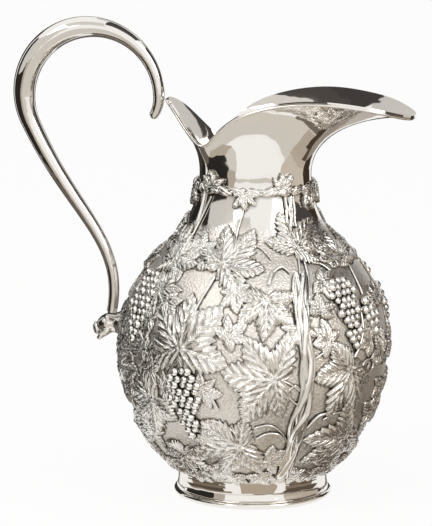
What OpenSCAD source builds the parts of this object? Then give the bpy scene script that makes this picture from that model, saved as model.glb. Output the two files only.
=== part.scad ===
// Silver ewer with a grape vine round its bowl, in millimetres.
// Z is up, the spout points to +X, the handle to -X, and the foot stands on z = 0.

/* [Bowl] */
// Widest radius of the bowl, without the vine
belly_r = 84; // [80:0.5:88]
// Height of the widest place above the table
belly_z = 95.5; // [91.5:0.5:99.5]
// Radius of the bowl's side below the widest place
lower_arc_r = 105; // [101:0.5:112]
// Radius of the bowl's side above the widest place
upper_arc_r = 86; // [83:0.5:90]
// Height of the bowl's flat floor above the table
floor_z = 13.5; // [11.5:0.5:14.5]
// Thickness of the raised sheet
wall = 1.2; // [0.9:0.1:1.6]

/* [Foot] */
// How far the foot's bead stands out from the edge of the bowl's floor
foot_out = 5.4; // [4:0.1:8]
// Height of the foot's collar
foot_h = 17; // [16.2:0.2:18.6]
// How far the collar's waist stands out from the edge of the bowl's floor
waist_out = 2.4; // [1.4:0.1:2.8]
// How far the foot reaches in under the bowl's floor
foot_ledge = 1.1; // [0.5:0.1:3.5]
// Radius of the bead's round edge
bead_r = 2; // [1.4:0.1:2.4]
// Radius of the hollow in the collar's side
cove_r = 14; // [12:0.5:18]

/* [Neck and lip] */
// Radius of the neck at its narrowest ring
neck_r = 35; // [33.5:0.5:37]
// Height of the narrowest ring above the table
neck_z = 205.5; // [201.5:0.5:211.5]
// Height of the joint between bowl and neck, hidden by the garland
seam_z = 195.5; // [192.5:0.5:198.5]
// Reach of the spout's tip from the axis
spout_reach = 100; // [92:1:108]
// Half the width of the spout
spout_half_w = 37; // [34:0.5:40]
// Height of the rim where it dips between spout and back lip
dip_z = 224.5; // [220.5:0.5:227.5]
// Height of the rim at the spout's crest
crest_z = 255; // [251.5:0.5:259.5]
// Diameter of the wire round the rim
rim_wire_d = 2; // [1.6:0.1:2.4]

/* [Handle] */
// Radius of the loop, at the centre of the handle
loop_r = 43.2; // [42:0.2:44]
// Distance of the loop's centre from the axis
loop_x = 105; // [104:0.5:108]
// Height of the loop's centre
loop_z = 250.5; // [246.5:0.5:254.5]
// Diameter of the handle at its thickest
handle_d = 15.4; // [13:0.2:17]
// How far the handle's lower end stands out from the bowl's widest place
root_out = 7.5; // [6:0.5:10]
// Height of the handle's lower end
root_z = 112.5; // [110.5:0.5:115.5]

/* [Vine] */
// Length of the longest leaf, from its stalk to its tip, as a share of the vine's room
leaf_room_share = 0.56; // [0.5:0.005:0.575]
// Height of a leaf above the ground at its stalk
leaf_rise = 2.2; // [1.6:0.1:2.8]
// Height of a leaf's edge above the ground
leaf_edge = 1.1; // [0.8:0.1:1.5]
// Diameter of a grape, as a share of the vine's room
grape_room_share = 0.09; // [0.078:0.001:0.096]
// Diameter of the twisted trunk, as a share of the vine's room
trunk_room_share = 0.103; // [0.084:0.001:0.115]
// Diameter of the stalks, as a share of the vine's room
stalk_room_share = 0.034; // [0.028:0.001:0.04]
// Diameter of the garland's twisted ring
garland_d = 4; // [3.4:0.1:4.6]

/* [Hidden] */
// Gap between pieces that are soldered together
seat = 0.15;
// Gap under a leaf or a stalk, which also takes up the bend of its flat facets
laid_seat = 0.4;
// How far a cut runs past what it cuts
overrun = 5;
// How far the two upper arcs of the bowl's side lap, so that they cross cleanly where they meet
meet_lap = 0.05;
// Facets of exact round pieces in the preview
$fn = 96;
deg = 180 / PI;

// The bowl's side is three arcs that meet smoothly: lower, upper and the hollow one of the neck.
low_c = [belly_r - lower_arc_r, belly_z];
up_c = [belly_r - upper_arc_r, belly_z];
up_gap = neck_r - up_c.x;
neck_rise = neck_z - belly_z;
neck_arc_r = (up_gap * up_gap + neck_rise * neck_rise - upper_arc_r * upper_arc_r)
    / (2 * (upper_arc_r - up_gap));
neck_c = [neck_r + neck_arc_r, neck_z];
meet_a = atan2(neck_c.y - up_c.y, neck_c.x - up_c.x);
floor_a = asin((floor_z - belly_z) / lower_arc_r);
floor_r = low_c.x + lower_arc_r * cos(floor_a);
low_len = -floor_a / deg * lower_arc_r;
up_len = meet_a / deg * upper_arc_r;
meet_z = up_c.y + upper_arc_r * sin(meet_a);

// The foot is set out from the edge of the bowl's floor.
foot_r = floor_r + foot_out;
waist_r = floor_r + waist_out;
foot_in_r = floor_r - foot_ledge;

// The vine's room is the bowl's mean radius, or a share of its height where that is less.
room_height_share = 0.335;
vine_room = min((belly_r + floor_r) / 2, room_height_share * (neck_z - floor_z));
leaf_len = leaf_room_share * vine_room;
grape_d = grape_room_share * vine_room;
trunk_d = trunk_room_share * vine_room;
stalk_d = stalk_room_share * vine_room;

// Point and outward direction of the bowl's side, a length s up from the floor's edge
function side(s) =
    s < low_len ? let (t = floor_a + s / lower_arc_r * deg)
        concat(low_c + lower_arc_r * [cos(t), sin(t)], [cos(t), sin(t)])
    : s < low_len + up_len ? let (t = (s - low_len) / upper_arc_r * deg)
        concat(up_c + upper_arc_r * [cos(t), sin(t)], [cos(t), sin(t)])
    : let (t = 180 + meet_a - (s - low_len - up_len) / neck_arc_r * deg)
        concat(neck_c + neck_arc_r * [cos(t), sin(t)], [-cos(t), -sin(t)]);

// Length up the bowl's side at height z
function side_at(z) =
    z < belly_z ? (asin((z - belly_z) / lower_arc_r) - floor_a) / deg * lower_arc_r
    : z < meet_z ? low_len + asin((z - belly_z) / upper_arc_r) / deg * upper_arc_r
    : low_len + up_len + (meet_a + asin((z - neck_z) / neck_arc_r)) / deg * neck_arc_r;

// Point at an angle round the axis, a length s up the side and a height h off it
function laid(a, s, h) = let (p = side(s), r = p[0] + h * p[2])
    [r * cos(a), r * sin(a), p[1] + h * p[3]];

// The same, at u to the right of the angle and v above s
function laid_at(a, s, u, v, h) = laid(a + u / side(s + v)[0] * deg, s + v, h);

// Height on the bowl from a share of the way from its floor to the neck's narrowest ring
function bowl_z(share) = floor_z + share * (neck_z - floor_z);

function mix(a, b, t) = a + (b - a) * t;
function unit(v) = v / norm(v);

// Smooth curve through the rows of a table, t counted in rows
function through(rows, t) =
    let (n = len(rows) - 1, i = min(floor(t), n - 1), f = t - i,
        p0 = rows[max(i - 1, 0)], p1 = rows[i], p2 = rows[i + 1], p3 = rows[min(i + 2, n)])
    (2 * p1 + (p2 - p0) * f + (2 * p0 - 5 * p1 + 4 * p2 - p3) * f * f
        + (3 * p1 - p0 - 3 * p2 + p3) * f * f * f) / 2;

function bezier(p, t) = let (k = 1 - t)
    k * k * k * p[0] + 3 * k * k * t * p[1] + 3 * k * t * t * p[2] + t * t * t * p[3];

// Closed surface through rings of points, closed on itself or by the points a and b
module skin(rings, closed = false, a = undef, b = undef) {
    n = len(rings[0]);
    m = len(rings);
    sides = [for (i = [0 : closed ? m - 1 : m - 2], j = [0 : n - 1])
        let (k = (i + 1) % m, p = i * n + j, q = i * n + (j + 1) % n,
            r = k * n + (j + 1) % n, s = k * n + j)
        each [[p, q, r], [p, r, s]]];
    caps = closed ? [] : [for (j = [0 : n - 1])
        each [[m * n, (j + 1) % n, j], [m * n + 1, (m - 1) * n + j, (m - 1) * n + (j + 1) % n]]];
    polyhedron([for (r = rings) each r, if (!closed) a, if (!closed) b], concat(sides, caps));
}

// Half outline of the bowl, grown by a clearance on its outside
module bowl_outline(grow, z0, z1) {
    arcs_z = [z0, belly_z, up_c.y + (upper_arc_r + grow) * sin(meet_a), z1];
    arcs_r = upper_arc_r + lower_arc_r;
    intersection() {
        translate(low_c) circle(lower_arc_r + grow);
        translate([0, arcs_z[0]]) square([arcs_r, arcs_z[1] - arcs_z[0]]);
    }
    intersection() {
        translate(up_c) circle(upper_arc_r + grow);
        translate([0, arcs_z[1]]) square([arcs_r, arcs_z[2] + overrun - arcs_z[1]]);
    }
    difference() {
        translate([0, arcs_z[2]])
            square([up_c.x + (upper_arc_r + grow) * cos(meet_a), arcs_z[3] - arcs_z[2]]);
        translate(neck_c) circle(neck_arc_r - grow + meet_lap);
    }
}

module bowl() color("gainsboro") rotate_extrude() difference() {
    bowl_outline(0, floor_z, seam_z);
    bowl_outline(-wall, floor_z + wall, seam_z + overrun);
}

// Foot ring: a collar with a hollow side on a bead, cut to take the bowl
module foot_ring() color("silver") rotate_extrude() difference() {
    union() {
        translate([foot_in_r, 0]) square([foot_r - bead_r - foot_in_r, 2 * bead_r]);
        translate([foot_r - bead_r, bead_r]) circle(bead_r);
        difference() {
            translate([foot_in_r, 2 * bead_r]) square([foot_r - bead_r - foot_in_r, foot_h - 2 * bead_r]);
            translate([waist_r + cove_r, mix(2 * bead_r, foot_h, 0.5)]) circle(cove_r);
        }
    }
    bowl_outline(seat, floor_z - seat, belly_z);
}

// Handle: a curled tip and a round loop, then a double bend down to the root
tip_share = 0.5;
tip_r = tip_share * loop_r;
tip_a = -38;
loop_end_a = 205;
tip_steps = 5;
loop_steps = 24;
limb_steps = 14;
handle_steps = tip_steps + loop_steps + limb_steps;
handle_sides = 12;
// Lean of the handle's lower end, in degrees outward from straight down
root_lean = 10;
// Length of the lower bends, as shares of the height they span
limb_pull_shares = [0.54, 0.4];
// Diameter along the handle: way along it and share of handle_d
girth_shares = [[0, 0.34], [0.07, 0.45], [0.16, 0.48], [0.28, 0.66], [0.42, 0.97], [0.5, 1],
    [0.6, 0.92], [0.75, 0.62], [0.9, 0.46], [1, 0.42]];

// The lip: rows run from the spout's tip round one side to the back point. Their shares are of
// spout_reach or back_reach along X, of spout_half_w across and of the rise from dip to crest.
spout_rim_shares = [[1, 0, 0.63], [0.97, 0.4, 0.66], [0.82, 0.78, 0.83], [0.62, 0.93, 0.95],
    [0.44, 1, 1], [0.27, 0.99, 0.97], [0.1, 0.95, 0.86], [-0.06, 0.9, 0.66], [-0.19, 0.82, 0.34]];
back_rim_shares = [[-0.5, 0.74, 0], [-0.66, 0.64, 0.24], [-0.84, 0.42, 0.62], [-0.95, 0.2, 0.8],
    [-1, 0, 0.85]];
rim_rise = crest_z - dip_z;
// Slope of the lip at its rim, in degrees above level, row by row
rim_slopes = [-2, 0, 8, 18, 30, 42, 56, 66, 72, 74, 68, 60, 54, 52];
// The back point's rim wire touches the handle beside its curled tip
back_slope = rim_slopes[len(rim_slopes) - 1];
wire_out = rim_wire_d / 2 * (1 + sin(back_slope) - cos(back_slope)) + seat * sin(back_slope);
back_reach = loop_x - loop_r - handle_d / 2 * looked_up(girth_shares, tip_steps / handle_steps)
    - seat - wire_out;
rim_rows = [
    for (p = spout_rim_shares) [p[0] * spout_reach, p[1] * spout_half_w, dip_z + p[2] * rim_rise],
    for (p = back_rim_shares) [p[0] * back_reach, p[1] * spout_half_w, dip_z + p[2] * rim_rise]];
rim_steps = 22;
lip_rings = 8;
neck_rings = 3;
// Length of the curve's lower and upper handle, as shares of the distance it spans
lip_pull_shares = [0.34, 0.42];

function rim_t(k) = (len(rim_rows) - 1) * k / rim_steps;
function rim_half(k) = through(rim_rows, rim_t(k));
// Rim points all round, the second half mirrored, with the slope of the lip there
rim_points = [for (k = [0 : 2 * rim_steps - 1]) let (h = k <= rim_steps, i = h ? k : 2 * rim_steps - k,
    p = rim_half(i)) [p.x, h ? p.y : -p.y, p.z]];
rim_angles = [for (k = [0 : 2 * rim_steps - 1])
    through(rim_slopes, rim_t(k <= rim_steps ? k : 2 * rim_steps - k))];

// Outside and inside of the neck, in the upright plane through rim point k
function lip_arc(k, t, off) =
    let (p = rim_points[k], r = norm([p.x, p.y]), e = [r, p.z], span = norm(e - [neck_r, neck_z]),
        d = [cos(rim_angles[k]), sin(rim_angles[k])], n = [-d.y, d.x],
        curve = [[neck_r - off, neck_z], [neck_r - off, neck_z + lip_pull_shares[0] * span],
            e + n * off - d * lip_pull_shares[1] * span, e + n * off],
        q = bezier(curve, t))
    [q.x * p.x / r, q.x * p.y / r, q.y];
function neck_arc(k, z, off) =
    let (p = rim_points[k], r = norm([p.x, p.y]), s = side(side_at(z)), q = s[0] - off * s[2])
    [q * p.x / r, q * p.y / r, s[1] - off * s[3]];
function neck_ring(z, off) = [for (k = [0 : len(rim_points) - 1]) neck_arc(k, z, off)];
function lip_ring(t, off) = [for (k = [0 : len(rim_points) - 1]) lip_arc(k, t, off)];
// The neck's lower edge is level, so its inner edge is put back to the height of the joint
function at_z(ring, z) = [for (p = ring) [p.x, p.y, z]];
neck_foot_z = seam_z + seat;

module neck() color("whitesmoke") skin(concat(
    [for (i = [0 : neck_rings - 1]) neck_ring(mix(neck_foot_z, neck_z, i / neck_rings), 0)],
    [for (i = [0 : lip_rings]) lip_ring(i / lip_rings, 0)],
    [for (i = [lip_rings : -1 : 0]) lip_ring(i / lip_rings, wall)],
    [for (i = [neck_rings - 1 : -1 : 1]) neck_ring(mix(neck_foot_z, neck_z, i / neck_rings), wall)],
    [at_z(neck_ring(neck_foot_z, wall), neck_foot_z)]), closed = true);

// Rim wire, laid along the outside of the lip's edge
wire_sides = 8;
function rim_wire_ring(k) =
    let (p = rim_points[k], m = len(rim_points), r = norm([p.x, p.y]),
        out = [p.x / r, p.y / r, 0], d = cos(rim_angles[k]) * out + sin(rim_angles[k]) * [0, 0, 1],
        along = unit(rim_points[(k + 1) % m] - rim_points[(k + m - 1) % m]),
        off = unit(cross(along, d)), b = unit(cross(off, along)),
        c = p + (rim_wire_d / 2 + seat) * off - rim_wire_d / 2 * b)
    [for (j = [0 : wire_sides - 1]) let (t = 360 * j / wire_sides)
        c + rim_wire_d / 2 * (cos(t) * off + sin(t) * b)];
module rim_wire() color("white")
    skin([for (k = [0 : len(rim_points) - 1]) rim_wire_ring(k)], closed = true);

// The handle along its path, with a round section that swells at the bend
loop_c = [-loop_x, loop_z];
tip_c = loop_c + [loop_r - tip_r, 0];
limb_from = loop_c + loop_r * [cos(loop_end_a), sin(loop_end_a)];
limb_to = [-(belly_r + root_out), root_z];
limb_drop = limb_from.y - limb_to.y;
limb = [limb_from, limb_from + limb_pull_shares[0] * limb_drop * [-sin(loop_end_a), cos(loop_end_a)],
    limb_to + limb_pull_shares[1] * limb_drop * [sin(root_lean), cos(root_lean)], limb_to];
handle_path = concat(
    [for (i = [0 : tip_steps - 1]) let (t = tip_a * (1 - i / tip_steps)) tip_c + tip_r * [cos(t), sin(t)]],
    [for (i = [0 : loop_steps - 1]) let (t = loop_end_a * i / loop_steps) loop_c + loop_r * [cos(t), sin(t)]],
    [for (i = [0 : limb_steps]) bezier(limb, i / limb_steps)]);
function looked_up(rows, u, i = 0) = i >= len(rows) - 2 || u <= rows[i + 1][0]
    ? let (f = (u - rows[i][0]) / (rows[i + 1][0] - rows[i][0])) mix(rows[i][1], rows[i + 1][1], f)
    : looked_up(rows, u, i + 1);
function handle_ring(i) =
    let (n = len(handle_path) - 1, p = handle_path[i],
        d = unit(handle_path[min(i + 1, n)] - handle_path[max(i - 1, 0)]),
        r = handle_d / 2 * looked_up(girth_shares, i / n))
    [for (j = [0 : handle_sides - 1]) let (t = 360 * j / handle_sides)
        [p.x - d.y * r * cos(t), r * sin(t), p.y + d.x * r * cos(t)]];
module handle() color("lightgray") {
    n = len(handle_path) - 1;
    skin([for (i = [0 : n]) handle_ring(i)],
        a = [handle_path[0].x, 0, handle_path[0].y], b = [handle_path[n].x, 0, handle_path[n].y]);
}

// Root of the handle: a knotted stub of vine that grows out of the bowl under the handle
stub_sides = 10;
root_end_r = handle_d / 2 * girth_shares[len(girth_shares) - 1][1];
stub_r = 6.4;
stub_reach = 20;
// Way out along the stub, drop and radius: shares of stub_reach, stub_r and stub_r
stub_shares = [[0, 0, 1.35], [0.14, 0, 1.2], [0.3, 0, 1], [0.5, 0.04, 1.02], [0.68, 0.3, 0.86],
    [0.8, 0.5, 0.64], [0.9, 0.62, 0.7], [1, 0.7, 0.42]];
stub_z = root_z - stub_r - laid_seat - root_end_r * sin(root_lean);
stub_from = side(side_at(stub_z));
module handle_root() color("darkgray") {
    rows = [for (q = stub_shares) [-(stub_from[0] + laid_seat + q[0] * stub_reach), stub_z - q[1] * stub_r,
        q[2] * stub_r]];
    difference() {
        skin([for (q = rows) [for (j = [0 : stub_sides - 1]) let (t = 360 * j / stub_sides)
            [q[0], -q[2] * sin(t), q[1] + q[2] * cos(t)]]],
            a = [rows[0][0], 0, rows[0][1]], b = [rows[len(rows) - 1][0], 0, rows[len(rows) - 1][1]]);
        rotate_extrude() bowl_outline(seat, floor_z, seam_z);
    }
}

// Tube of two twisted strands, along points [angle, length up the side] on the bowl or neck.
// Each ring is a lobed section that turns as it goes.
twist_sides = 8;
// Depth of the groove between the strands, as a share of the tube's radius
groove_share = 0.22;
function twist_ring(p, along, d, turn) =
    let (q = side(p[1]), r = d / 2, across = [-sin(along), cos(along)])
    [for (j = [0 : twist_sides - 1])
        let (t = 360 * j / twist_sides, k = r * (1 + groove_share * (cos(2 * (t - turn)) - 1)),
            w = k * cos(t))
        laid_at(p[0], p[1], across.x * w, across.y * w, laid_seat + r + k * sin(t))];
// Heading of a path on the bowl at row i, from level
function heading(path, i) =
    let (n = len(path) - 1, a = path[max(i - 1, 0)], b = path[min(i + 1, n)])
    atan2(b[1] - a[1], (b[0] - a[0]) / deg * side(path[i][1])[0]);
module twisted(path, d, turns) {
    n = len(path) - 1;
    mid = [for (i = [0, n]) laid(path[i][0], path[i][1], laid_seat + d / 2)];
    skin([for (i = [0 : n]) twist_ring(path[i], heading(path, i), d, turns * 360 * i / n)],
        a = mid[0], b = mid[1]);
}

// The trunk, from the foot to the leaf under the garland: angle and share of the bowl's height
trunk_shares = [[-62, 0.06], [-61, 0.14], [-60.5, 0.24], [-58, 0.34], [-58, 0.44], [-59, 0.54],
    [-58.5, 0.63], [-55.5, 0.715]];
trunk_steps = 26;
trunk_turns = 2.5;
// The stem above that leaf, up to the garland
stem_shares = [[-47.5, 0.885], [-46.5, 0.91], [-46, 0.935]];
stem_share = 0.62;
stem_steps = 6;
function vine_path(rows, steps) = [for (i = [0 : steps])
    let (p = through(rows, (len(rows) - 1) * i / steps)) [p[0], side_at(bowl_z(p[1]))]];
module trunk() color("gray") {
    twisted(vine_path(trunk_shares, trunk_steps), trunk_d, trunk_turns);
    twisted(vine_path(stem_shares, stem_steps), stem_share * trunk_d, 1);
}

// Stalks and tendrils between trunk, leaves and bunches: rows of angle and share of the height
stalk_shares = [
    [[-73.5, 0.69], [-70, 0.725], [-64.5, 0.738], [-60.6, 0.722]],
    [[-34, 0.45], [-30, 0.485], [-26.5, 0.53], [-25, 0.58]],
    [[-55.5, 0.235], [-51, 0.27], [-46, 0.275], [-43, 0.255]],
    [[-65.5, 0.19], [-69, 0.216], [-74, 0.22], [-79, 0.203]],
    [[-102.6, 0.705], [-104.6, 0.67], [-106.2, 0.645]],
    [[-96, 0.3], [-98.5, 0.34], [-101, 0.385]]];
stalk_sides = 5;
stalk_steps = 5;
module stalk(rows) {
    path = vine_path(rows, stalk_steps);
    rings = [for (i = [0 : stalk_steps]) let (p = path[i], d = heading(path, i))
        [for (j = [0 : stalk_sides - 1]) let (t = 360 * j / stalk_sides, w = stalk_d / 2 * cos(t))
            laid_at(p[0], p[1], -sin(d) * w, cos(d) * w, laid_seat + stalk_d / 2 * (1 + sin(t)))]];
    ends = [for (i = [0, stalk_steps]) laid(path[i][0], path[i][1], laid_seat + stalk_d / 2)];
    skin(rings, a = ends[0], b = ends[1]);
}
module stalks() color("darkgray") for (rows = stalk_shares) stalk(rows);

// Outline of half a vine leaf from its tip: angle and share of the leaf's length
leaf_half_shares = [[0, 1], [13, 0.86], [26, 0.6], [37, 0.8], [50, 0.94], [64, 0.8], [78, 0.55],
    [92, 0.68], [104, 0.77], [124, 0.62], [145, 0.54], [162, 0.36], [172, 0.14]];
leaf_outline_shares = concat(leaf_half_shares,
    [for (i = [len(leaf_half_shares) - 1 : -1 : 1]) [-leaf_half_shares[i][0], leaf_half_shares[i][1]]]);
// Angles of the ribs, and how far in the leaf's inner ring lies
rib_angles = [0, 50, 104, -50, -104];
inner_share = 0.55;
// Height of the furrows between ribs, as a share of leaf_rise
furrow_share = 0.55;
// Angle at which a rib has run out into the furrow
rib_spread = 26;
// Hollow of a leaf's back, which keeps its flat facets clear of the round bowl
leaf_back = 0.35;
function near_rib(a) = max([for (r = rib_angles) max(0, 1 - abs(a - r) / rib_spread)]);
function leaf_ring(row, k, top) =
    [for (q = leaf_outline_shares)
        let (rho = k * q[1] * row[2] * leaf_len, a = row[3] + q[0],
            h = top ? (k == 1 ? leaf_edge : leaf_rise * mix(furrow_share, 1, near_rib(q[0])))
                : (k == 1 ? 0 : leaf_back))
        laid_at(row[0], side_at(bowl_z(row[1])), rho * sin(a), rho * cos(a), laid_seat + h)];
module leaf(row) skin([leaf_ring(row, inner_share, true), leaf_ring(row, 1, true),
    leaf_ring(row, 1, false), leaf_ring(row, inner_share, false)],
    a = laid(row[0], side_at(bowl_z(row[1])), laid_seat + leaf_rise),
    b = laid(row[0], side_at(bowl_z(row[1])), laid_seat + 2 * leaf_back));

// Leaves on the seen side: angle, share of the height, share of leaf_len and turn from upright
leaf_shares = [[-99, 0.745, 0.77, 40], [-75.5, 0.648, 0.62, 183], [-72, 0.402, 0.92, -86],
    [-86.5, 0.172, 0.79, -102], [-113, 0.495, 0.96, 0], [-50.5, 0.785, 0.6, 35],
    [-49.4, 0.605, 0.31, 14], [-36.5, 0.412, 0.72, -146], [-30, 0.178, 0.86, -128],
    [-14, 0.742, 0.46, 0], [-12, 0.432, 0.42, 15], [-129, 0.3, 0.72, -128], [-119, 0.13, 0.5, 195],
    [-156, 0.37, 0.8, -25], [-160, 0.17, 0.62, 150], [-134, 0.735, 0.56, -15], [-8, 0.1, 0.26, 180]];
module leaf_piece(i) color("silver") leaf(leaf_shares[i]);

// Bunches on the seen side: angle and share of the height at the top, turn from straight down
bunch_shares = [[-112, 0.43, 4], [-33.5, 0.705, 0], [-18, 0.62, 4], [-146, 0.66, -6]];
// Grapes in each row of a bunch, from the top
bunch_rows = [[3, 4, 5, 4, 3, 2, 1], [3, 4, 3, 4, 3, 2, 1], [2, 3, 2, 1], [3, 4, 5, 4, 3, 2]];
// Height of a grape's centre above the ground, and spacing, as shares of grape_d
grape_lift_share = 0.08;
grape_pitch_share = 1.03;
row_pitch_share = 0.9;
// One grape: a ball cut flat where it meets the ground
module grape() rotate_extrude() intersection() {
    translate([0, grape_lift_share * grape_d]) circle(d = grape_d);
    square([grape_d, grape_d]);
}
module bunch(i) color("lightsteelblue") {
    row = bunch_shares[i];
    top_s = side_at(bowl_z(row[1]));
    for (j = [0 : len(bunch_rows[i]) - 1], k = [0 : bunch_rows[i][j] - 1]) {
        x = (k - (bunch_rows[i][j] - 1) / 2) * grape_pitch_share * grape_d;
        y = -(j + 1) * row_pitch_share * grape_d;
        s = top_s + x * sin(row[2]) + y * cos(row[2]);
        p = side(s);
        a = row[0] + (x * cos(row[2]) - y * sin(row[2])) / p[0] * deg;
        translate(laid(a, s, seat)) rotate([0, atan2(p[2], p[3]), a]) grape();
    }
}

// Garland: a twisted ring round the neck over the joint, with leaves above and below it
garland_z = seam_z + garland_d / 2 + laid_seat;
garland_turns = 14;
garland_steps = 60;
garland_sides = 6;
module garland_ring() color("darkgray")
    skin([for (i = [0 : garland_steps - 1])
        let (a = 360 * i / garland_steps, s = side_at(garland_z), r = garland_d / 2)
        [for (j = [0 : garland_sides - 1])
            let (t = 360 * j / garland_sides, turn = garland_turns * a / 2,
                k = r * (1 + groove_share * (cos(2 * (t - turn)) - 1)))
            laid_at(a, s, 0, k * cos(t), laid_seat + r + k * sin(t))]], closed = true);

// Leaves of the garland on the seen side: angle, and 1 for above the ring or -1 for below it
garland_rows = [[-163, -1], [-127, 1], [-91, -1], [-54, 1], [-18, -1]];
garland_leaf_len = 11;
garland_half_shares = [[0, 1], [14, 0.78], [24, 0.62], [42, 0.94], [54, 0.74], [66, 0.56], [86, 0.8],
    [104, 0.46], [150, 0.2]];
garland_outline_shares = concat(garland_half_shares, [for (i = [len(garland_half_shares) - 1 : -1 : 1])
    [-garland_half_shares[i][0], garland_half_shares[i][1]]]);
garland_base_share = 0.2;
garland_off = garland_d / 2 + seat + garland_base_share * garland_leaf_len;
module garland_leaf(row) {
    s = side_at(garland_z) + row[1] * garland_off;
    ring = function(k, h) [for (q = garland_outline_shares)
        let (rho = row[1] * k * q[1] * garland_leaf_len)
        laid_at(row[0], s, rho * sin(q[0]), rho * cos(q[0]), laid_seat + h)];
    skin([ring(inner_share, leaf_rise), ring(1, leaf_edge), ring(1, 0), ring(inner_share, 0)],
        a = laid(row[0], s, laid_seat + leaf_rise), b = laid(row[0], s, laid_seat));
}
module garland_leaves() color("silver") for (e = SIDES, row = garland_rows)
    mirror([0, e == "far" ? 1 : 0, 0]) garland_leaf(row);

// Nodes: the vine of the far side mirrors the seen side
SIDES = ["near", "far"];

bowl();
foot_ring();
neck();
rim_wire();
handle();
handle_root();
garland_ring();
garland_leaves();
for (e = SIDES) mirror([0, e == "far" ? 1 : 0, 0]) {
    trunk();
    stalks();
    for (i = [1 : len(leaf_shares)])
        leaf_piece(i - 1);
    for (i = [1 : len(bunch_shares)])
        bunch(i - 1);
}
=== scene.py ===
"""Looks of the silver ewer: polished, matted and chased silver in a soft white studio."""

import math

import bpy
import numpy as np
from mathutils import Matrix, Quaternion, Vector


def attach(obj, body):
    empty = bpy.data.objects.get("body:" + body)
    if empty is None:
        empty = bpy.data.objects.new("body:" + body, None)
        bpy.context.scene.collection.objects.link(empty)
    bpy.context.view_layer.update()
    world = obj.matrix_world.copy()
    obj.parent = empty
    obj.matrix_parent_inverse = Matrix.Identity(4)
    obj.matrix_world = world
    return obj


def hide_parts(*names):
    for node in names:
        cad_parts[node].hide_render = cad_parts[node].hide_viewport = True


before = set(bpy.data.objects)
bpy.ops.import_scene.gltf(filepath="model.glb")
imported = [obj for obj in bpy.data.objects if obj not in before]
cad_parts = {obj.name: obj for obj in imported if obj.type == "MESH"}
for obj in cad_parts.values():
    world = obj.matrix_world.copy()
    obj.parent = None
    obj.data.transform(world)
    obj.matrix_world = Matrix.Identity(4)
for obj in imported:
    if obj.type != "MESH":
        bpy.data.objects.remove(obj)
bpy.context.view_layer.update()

MM = 0.001
DEG = 180 / math.pi
TURN = 2 * math.pi

# Sizes of the ewer in millimetres, the same as in the part's source
BELLY_R, BELLY_Z = 84.0, 95.5  # the bowl's widest ring
LOWER_R, UPPER_R = 105.0, 86.0  # arcs of its side below and above that ring
FLOOR_Z, WALL = 13.5, 1.2
NECK_R, NECK_Z = 35.0, 205.5  # the neck's narrowest ring
SEAM_Z = 195.5  # where bowl and neck meet
FOOT_R, FOOT_H, WAIST_R, FOOT_IN_R = 49.98, 17.0, 46.98, 43.48
BEAD_R, COVE_R = 2.0, 14.0  # the foot's rounded flange and hollow side
SPOUT_REACH, SPOUT_HALF_W = 100.0, 37.0
DIP_Z, CREST_Z = 224.5, 255.0  # lowest and highest places of the rim's sides
RIM_WIRE_D = 2.0
LOOP_R, LOOP_X, LOOP_Z = 43.2, 105.0, 250.5  # the handle's loop
HANDLE_D = 15.4
ROOT_X, ROOT_Z, ROOT_LEAN = 91.5, 112.5, 10.0  # the handle's lower end, and its lean in degrees
LEAF_LEN, GRAPE_D = 36.0, 5.8
TRUNK_D, STALK_D, GARLAND_D = 6.6, 2.2, 4.0
SEAT, LAID = 0.15, 0.1  # gaps under a seated piece and under the vine

# The bowl's side: a lower arc, an upper arc and the hollow arc of the neck
LOW_X, UP_X = BELLY_R - LOWER_R, BELLY_R - UPPER_R
UP_GAP = NECK_R - UP_X
HOLLOW_R = (UP_GAP**2 + (NECK_Z - BELLY_Z) ** 2 - UPPER_R**2) / (2 * (UPPER_R - UP_GAP))
HOLLOW_X = NECK_R + HOLLOW_R
MEET_A = math.atan2(NECK_Z - BELLY_Z, HOLLOW_X - UP_X)
FLOOR_A = math.asin((FLOOR_Z - BELLY_Z) / LOWER_R)
LOW_LEN, UP_LEN = -FLOOR_A * LOWER_R, MEET_A * UPPER_R
MEET_Z = BELLY_Z + UPPER_R * math.sin(MEET_A)


def side(s):
    """Radius, height and outward direction of the bowl's side, a length s up from its floor."""
    s = np.asarray(s, float)

    def pick(low, up, hollow):
        return np.where(s < LOW_LEN, low, np.where(s < LOW_LEN + UP_LEN, up, hollow))

    a = FLOOR_A + s / LOWER_R
    b = (s - LOW_LEN) / UPPER_R
    c = math.pi + MEET_A - (s - LOW_LEN - UP_LEN) / HOLLOW_R
    r = pick(LOW_X + LOWER_R * np.cos(a), UP_X + UPPER_R * np.cos(b), HOLLOW_X + HOLLOW_R * np.cos(c))
    z = pick(BELLY_Z + LOWER_R * np.sin(a), BELLY_Z + UPPER_R * np.sin(b), NECK_Z + HOLLOW_R * np.sin(c))
    return r, z, pick(np.cos(a), np.cos(b), -np.cos(c)), pick(np.sin(a), np.sin(b), -np.sin(c))


def side_at(z):
    """Length up the bowl's side at height z."""
    if z < BELLY_Z:
        return (math.asin((z - BELLY_Z) / LOWER_R) - FLOOR_A) * LOWER_R
    if z < MEET_Z:
        return LOW_LEN + math.asin((z - BELLY_Z) / UPPER_R) * UPPER_R
    return LOW_LEN + UP_LEN + (MEET_A + math.asin((z - NECK_Z) / HOLLOW_R)) * HOLLOW_R


def share_at(share):
    """Length up the bowl's side at a share of the height from its floor to the neck."""
    return side_at(FLOOR_Z + share * (NECK_Z - FLOOR_Z))


def laid(a, s, u, v, h):
    """Points on the bowl: u to the right of angle a, v above s and h off it, in millimetres."""
    r, z, nr, nz = side(s + v)
    a = np.radians(a + u / r * DEG)
    r = r + h * nr
    return np.stack([r * np.cos(a), r * np.sin(a), z + h * nz], -1)


def turned(x, y, degrees):
    """A flat place turned about the middle."""
    c, s = math.cos(math.radians(degrees)), math.sin(math.radians(degrees))
    return x * c - y * s, x * s + y * c


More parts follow.
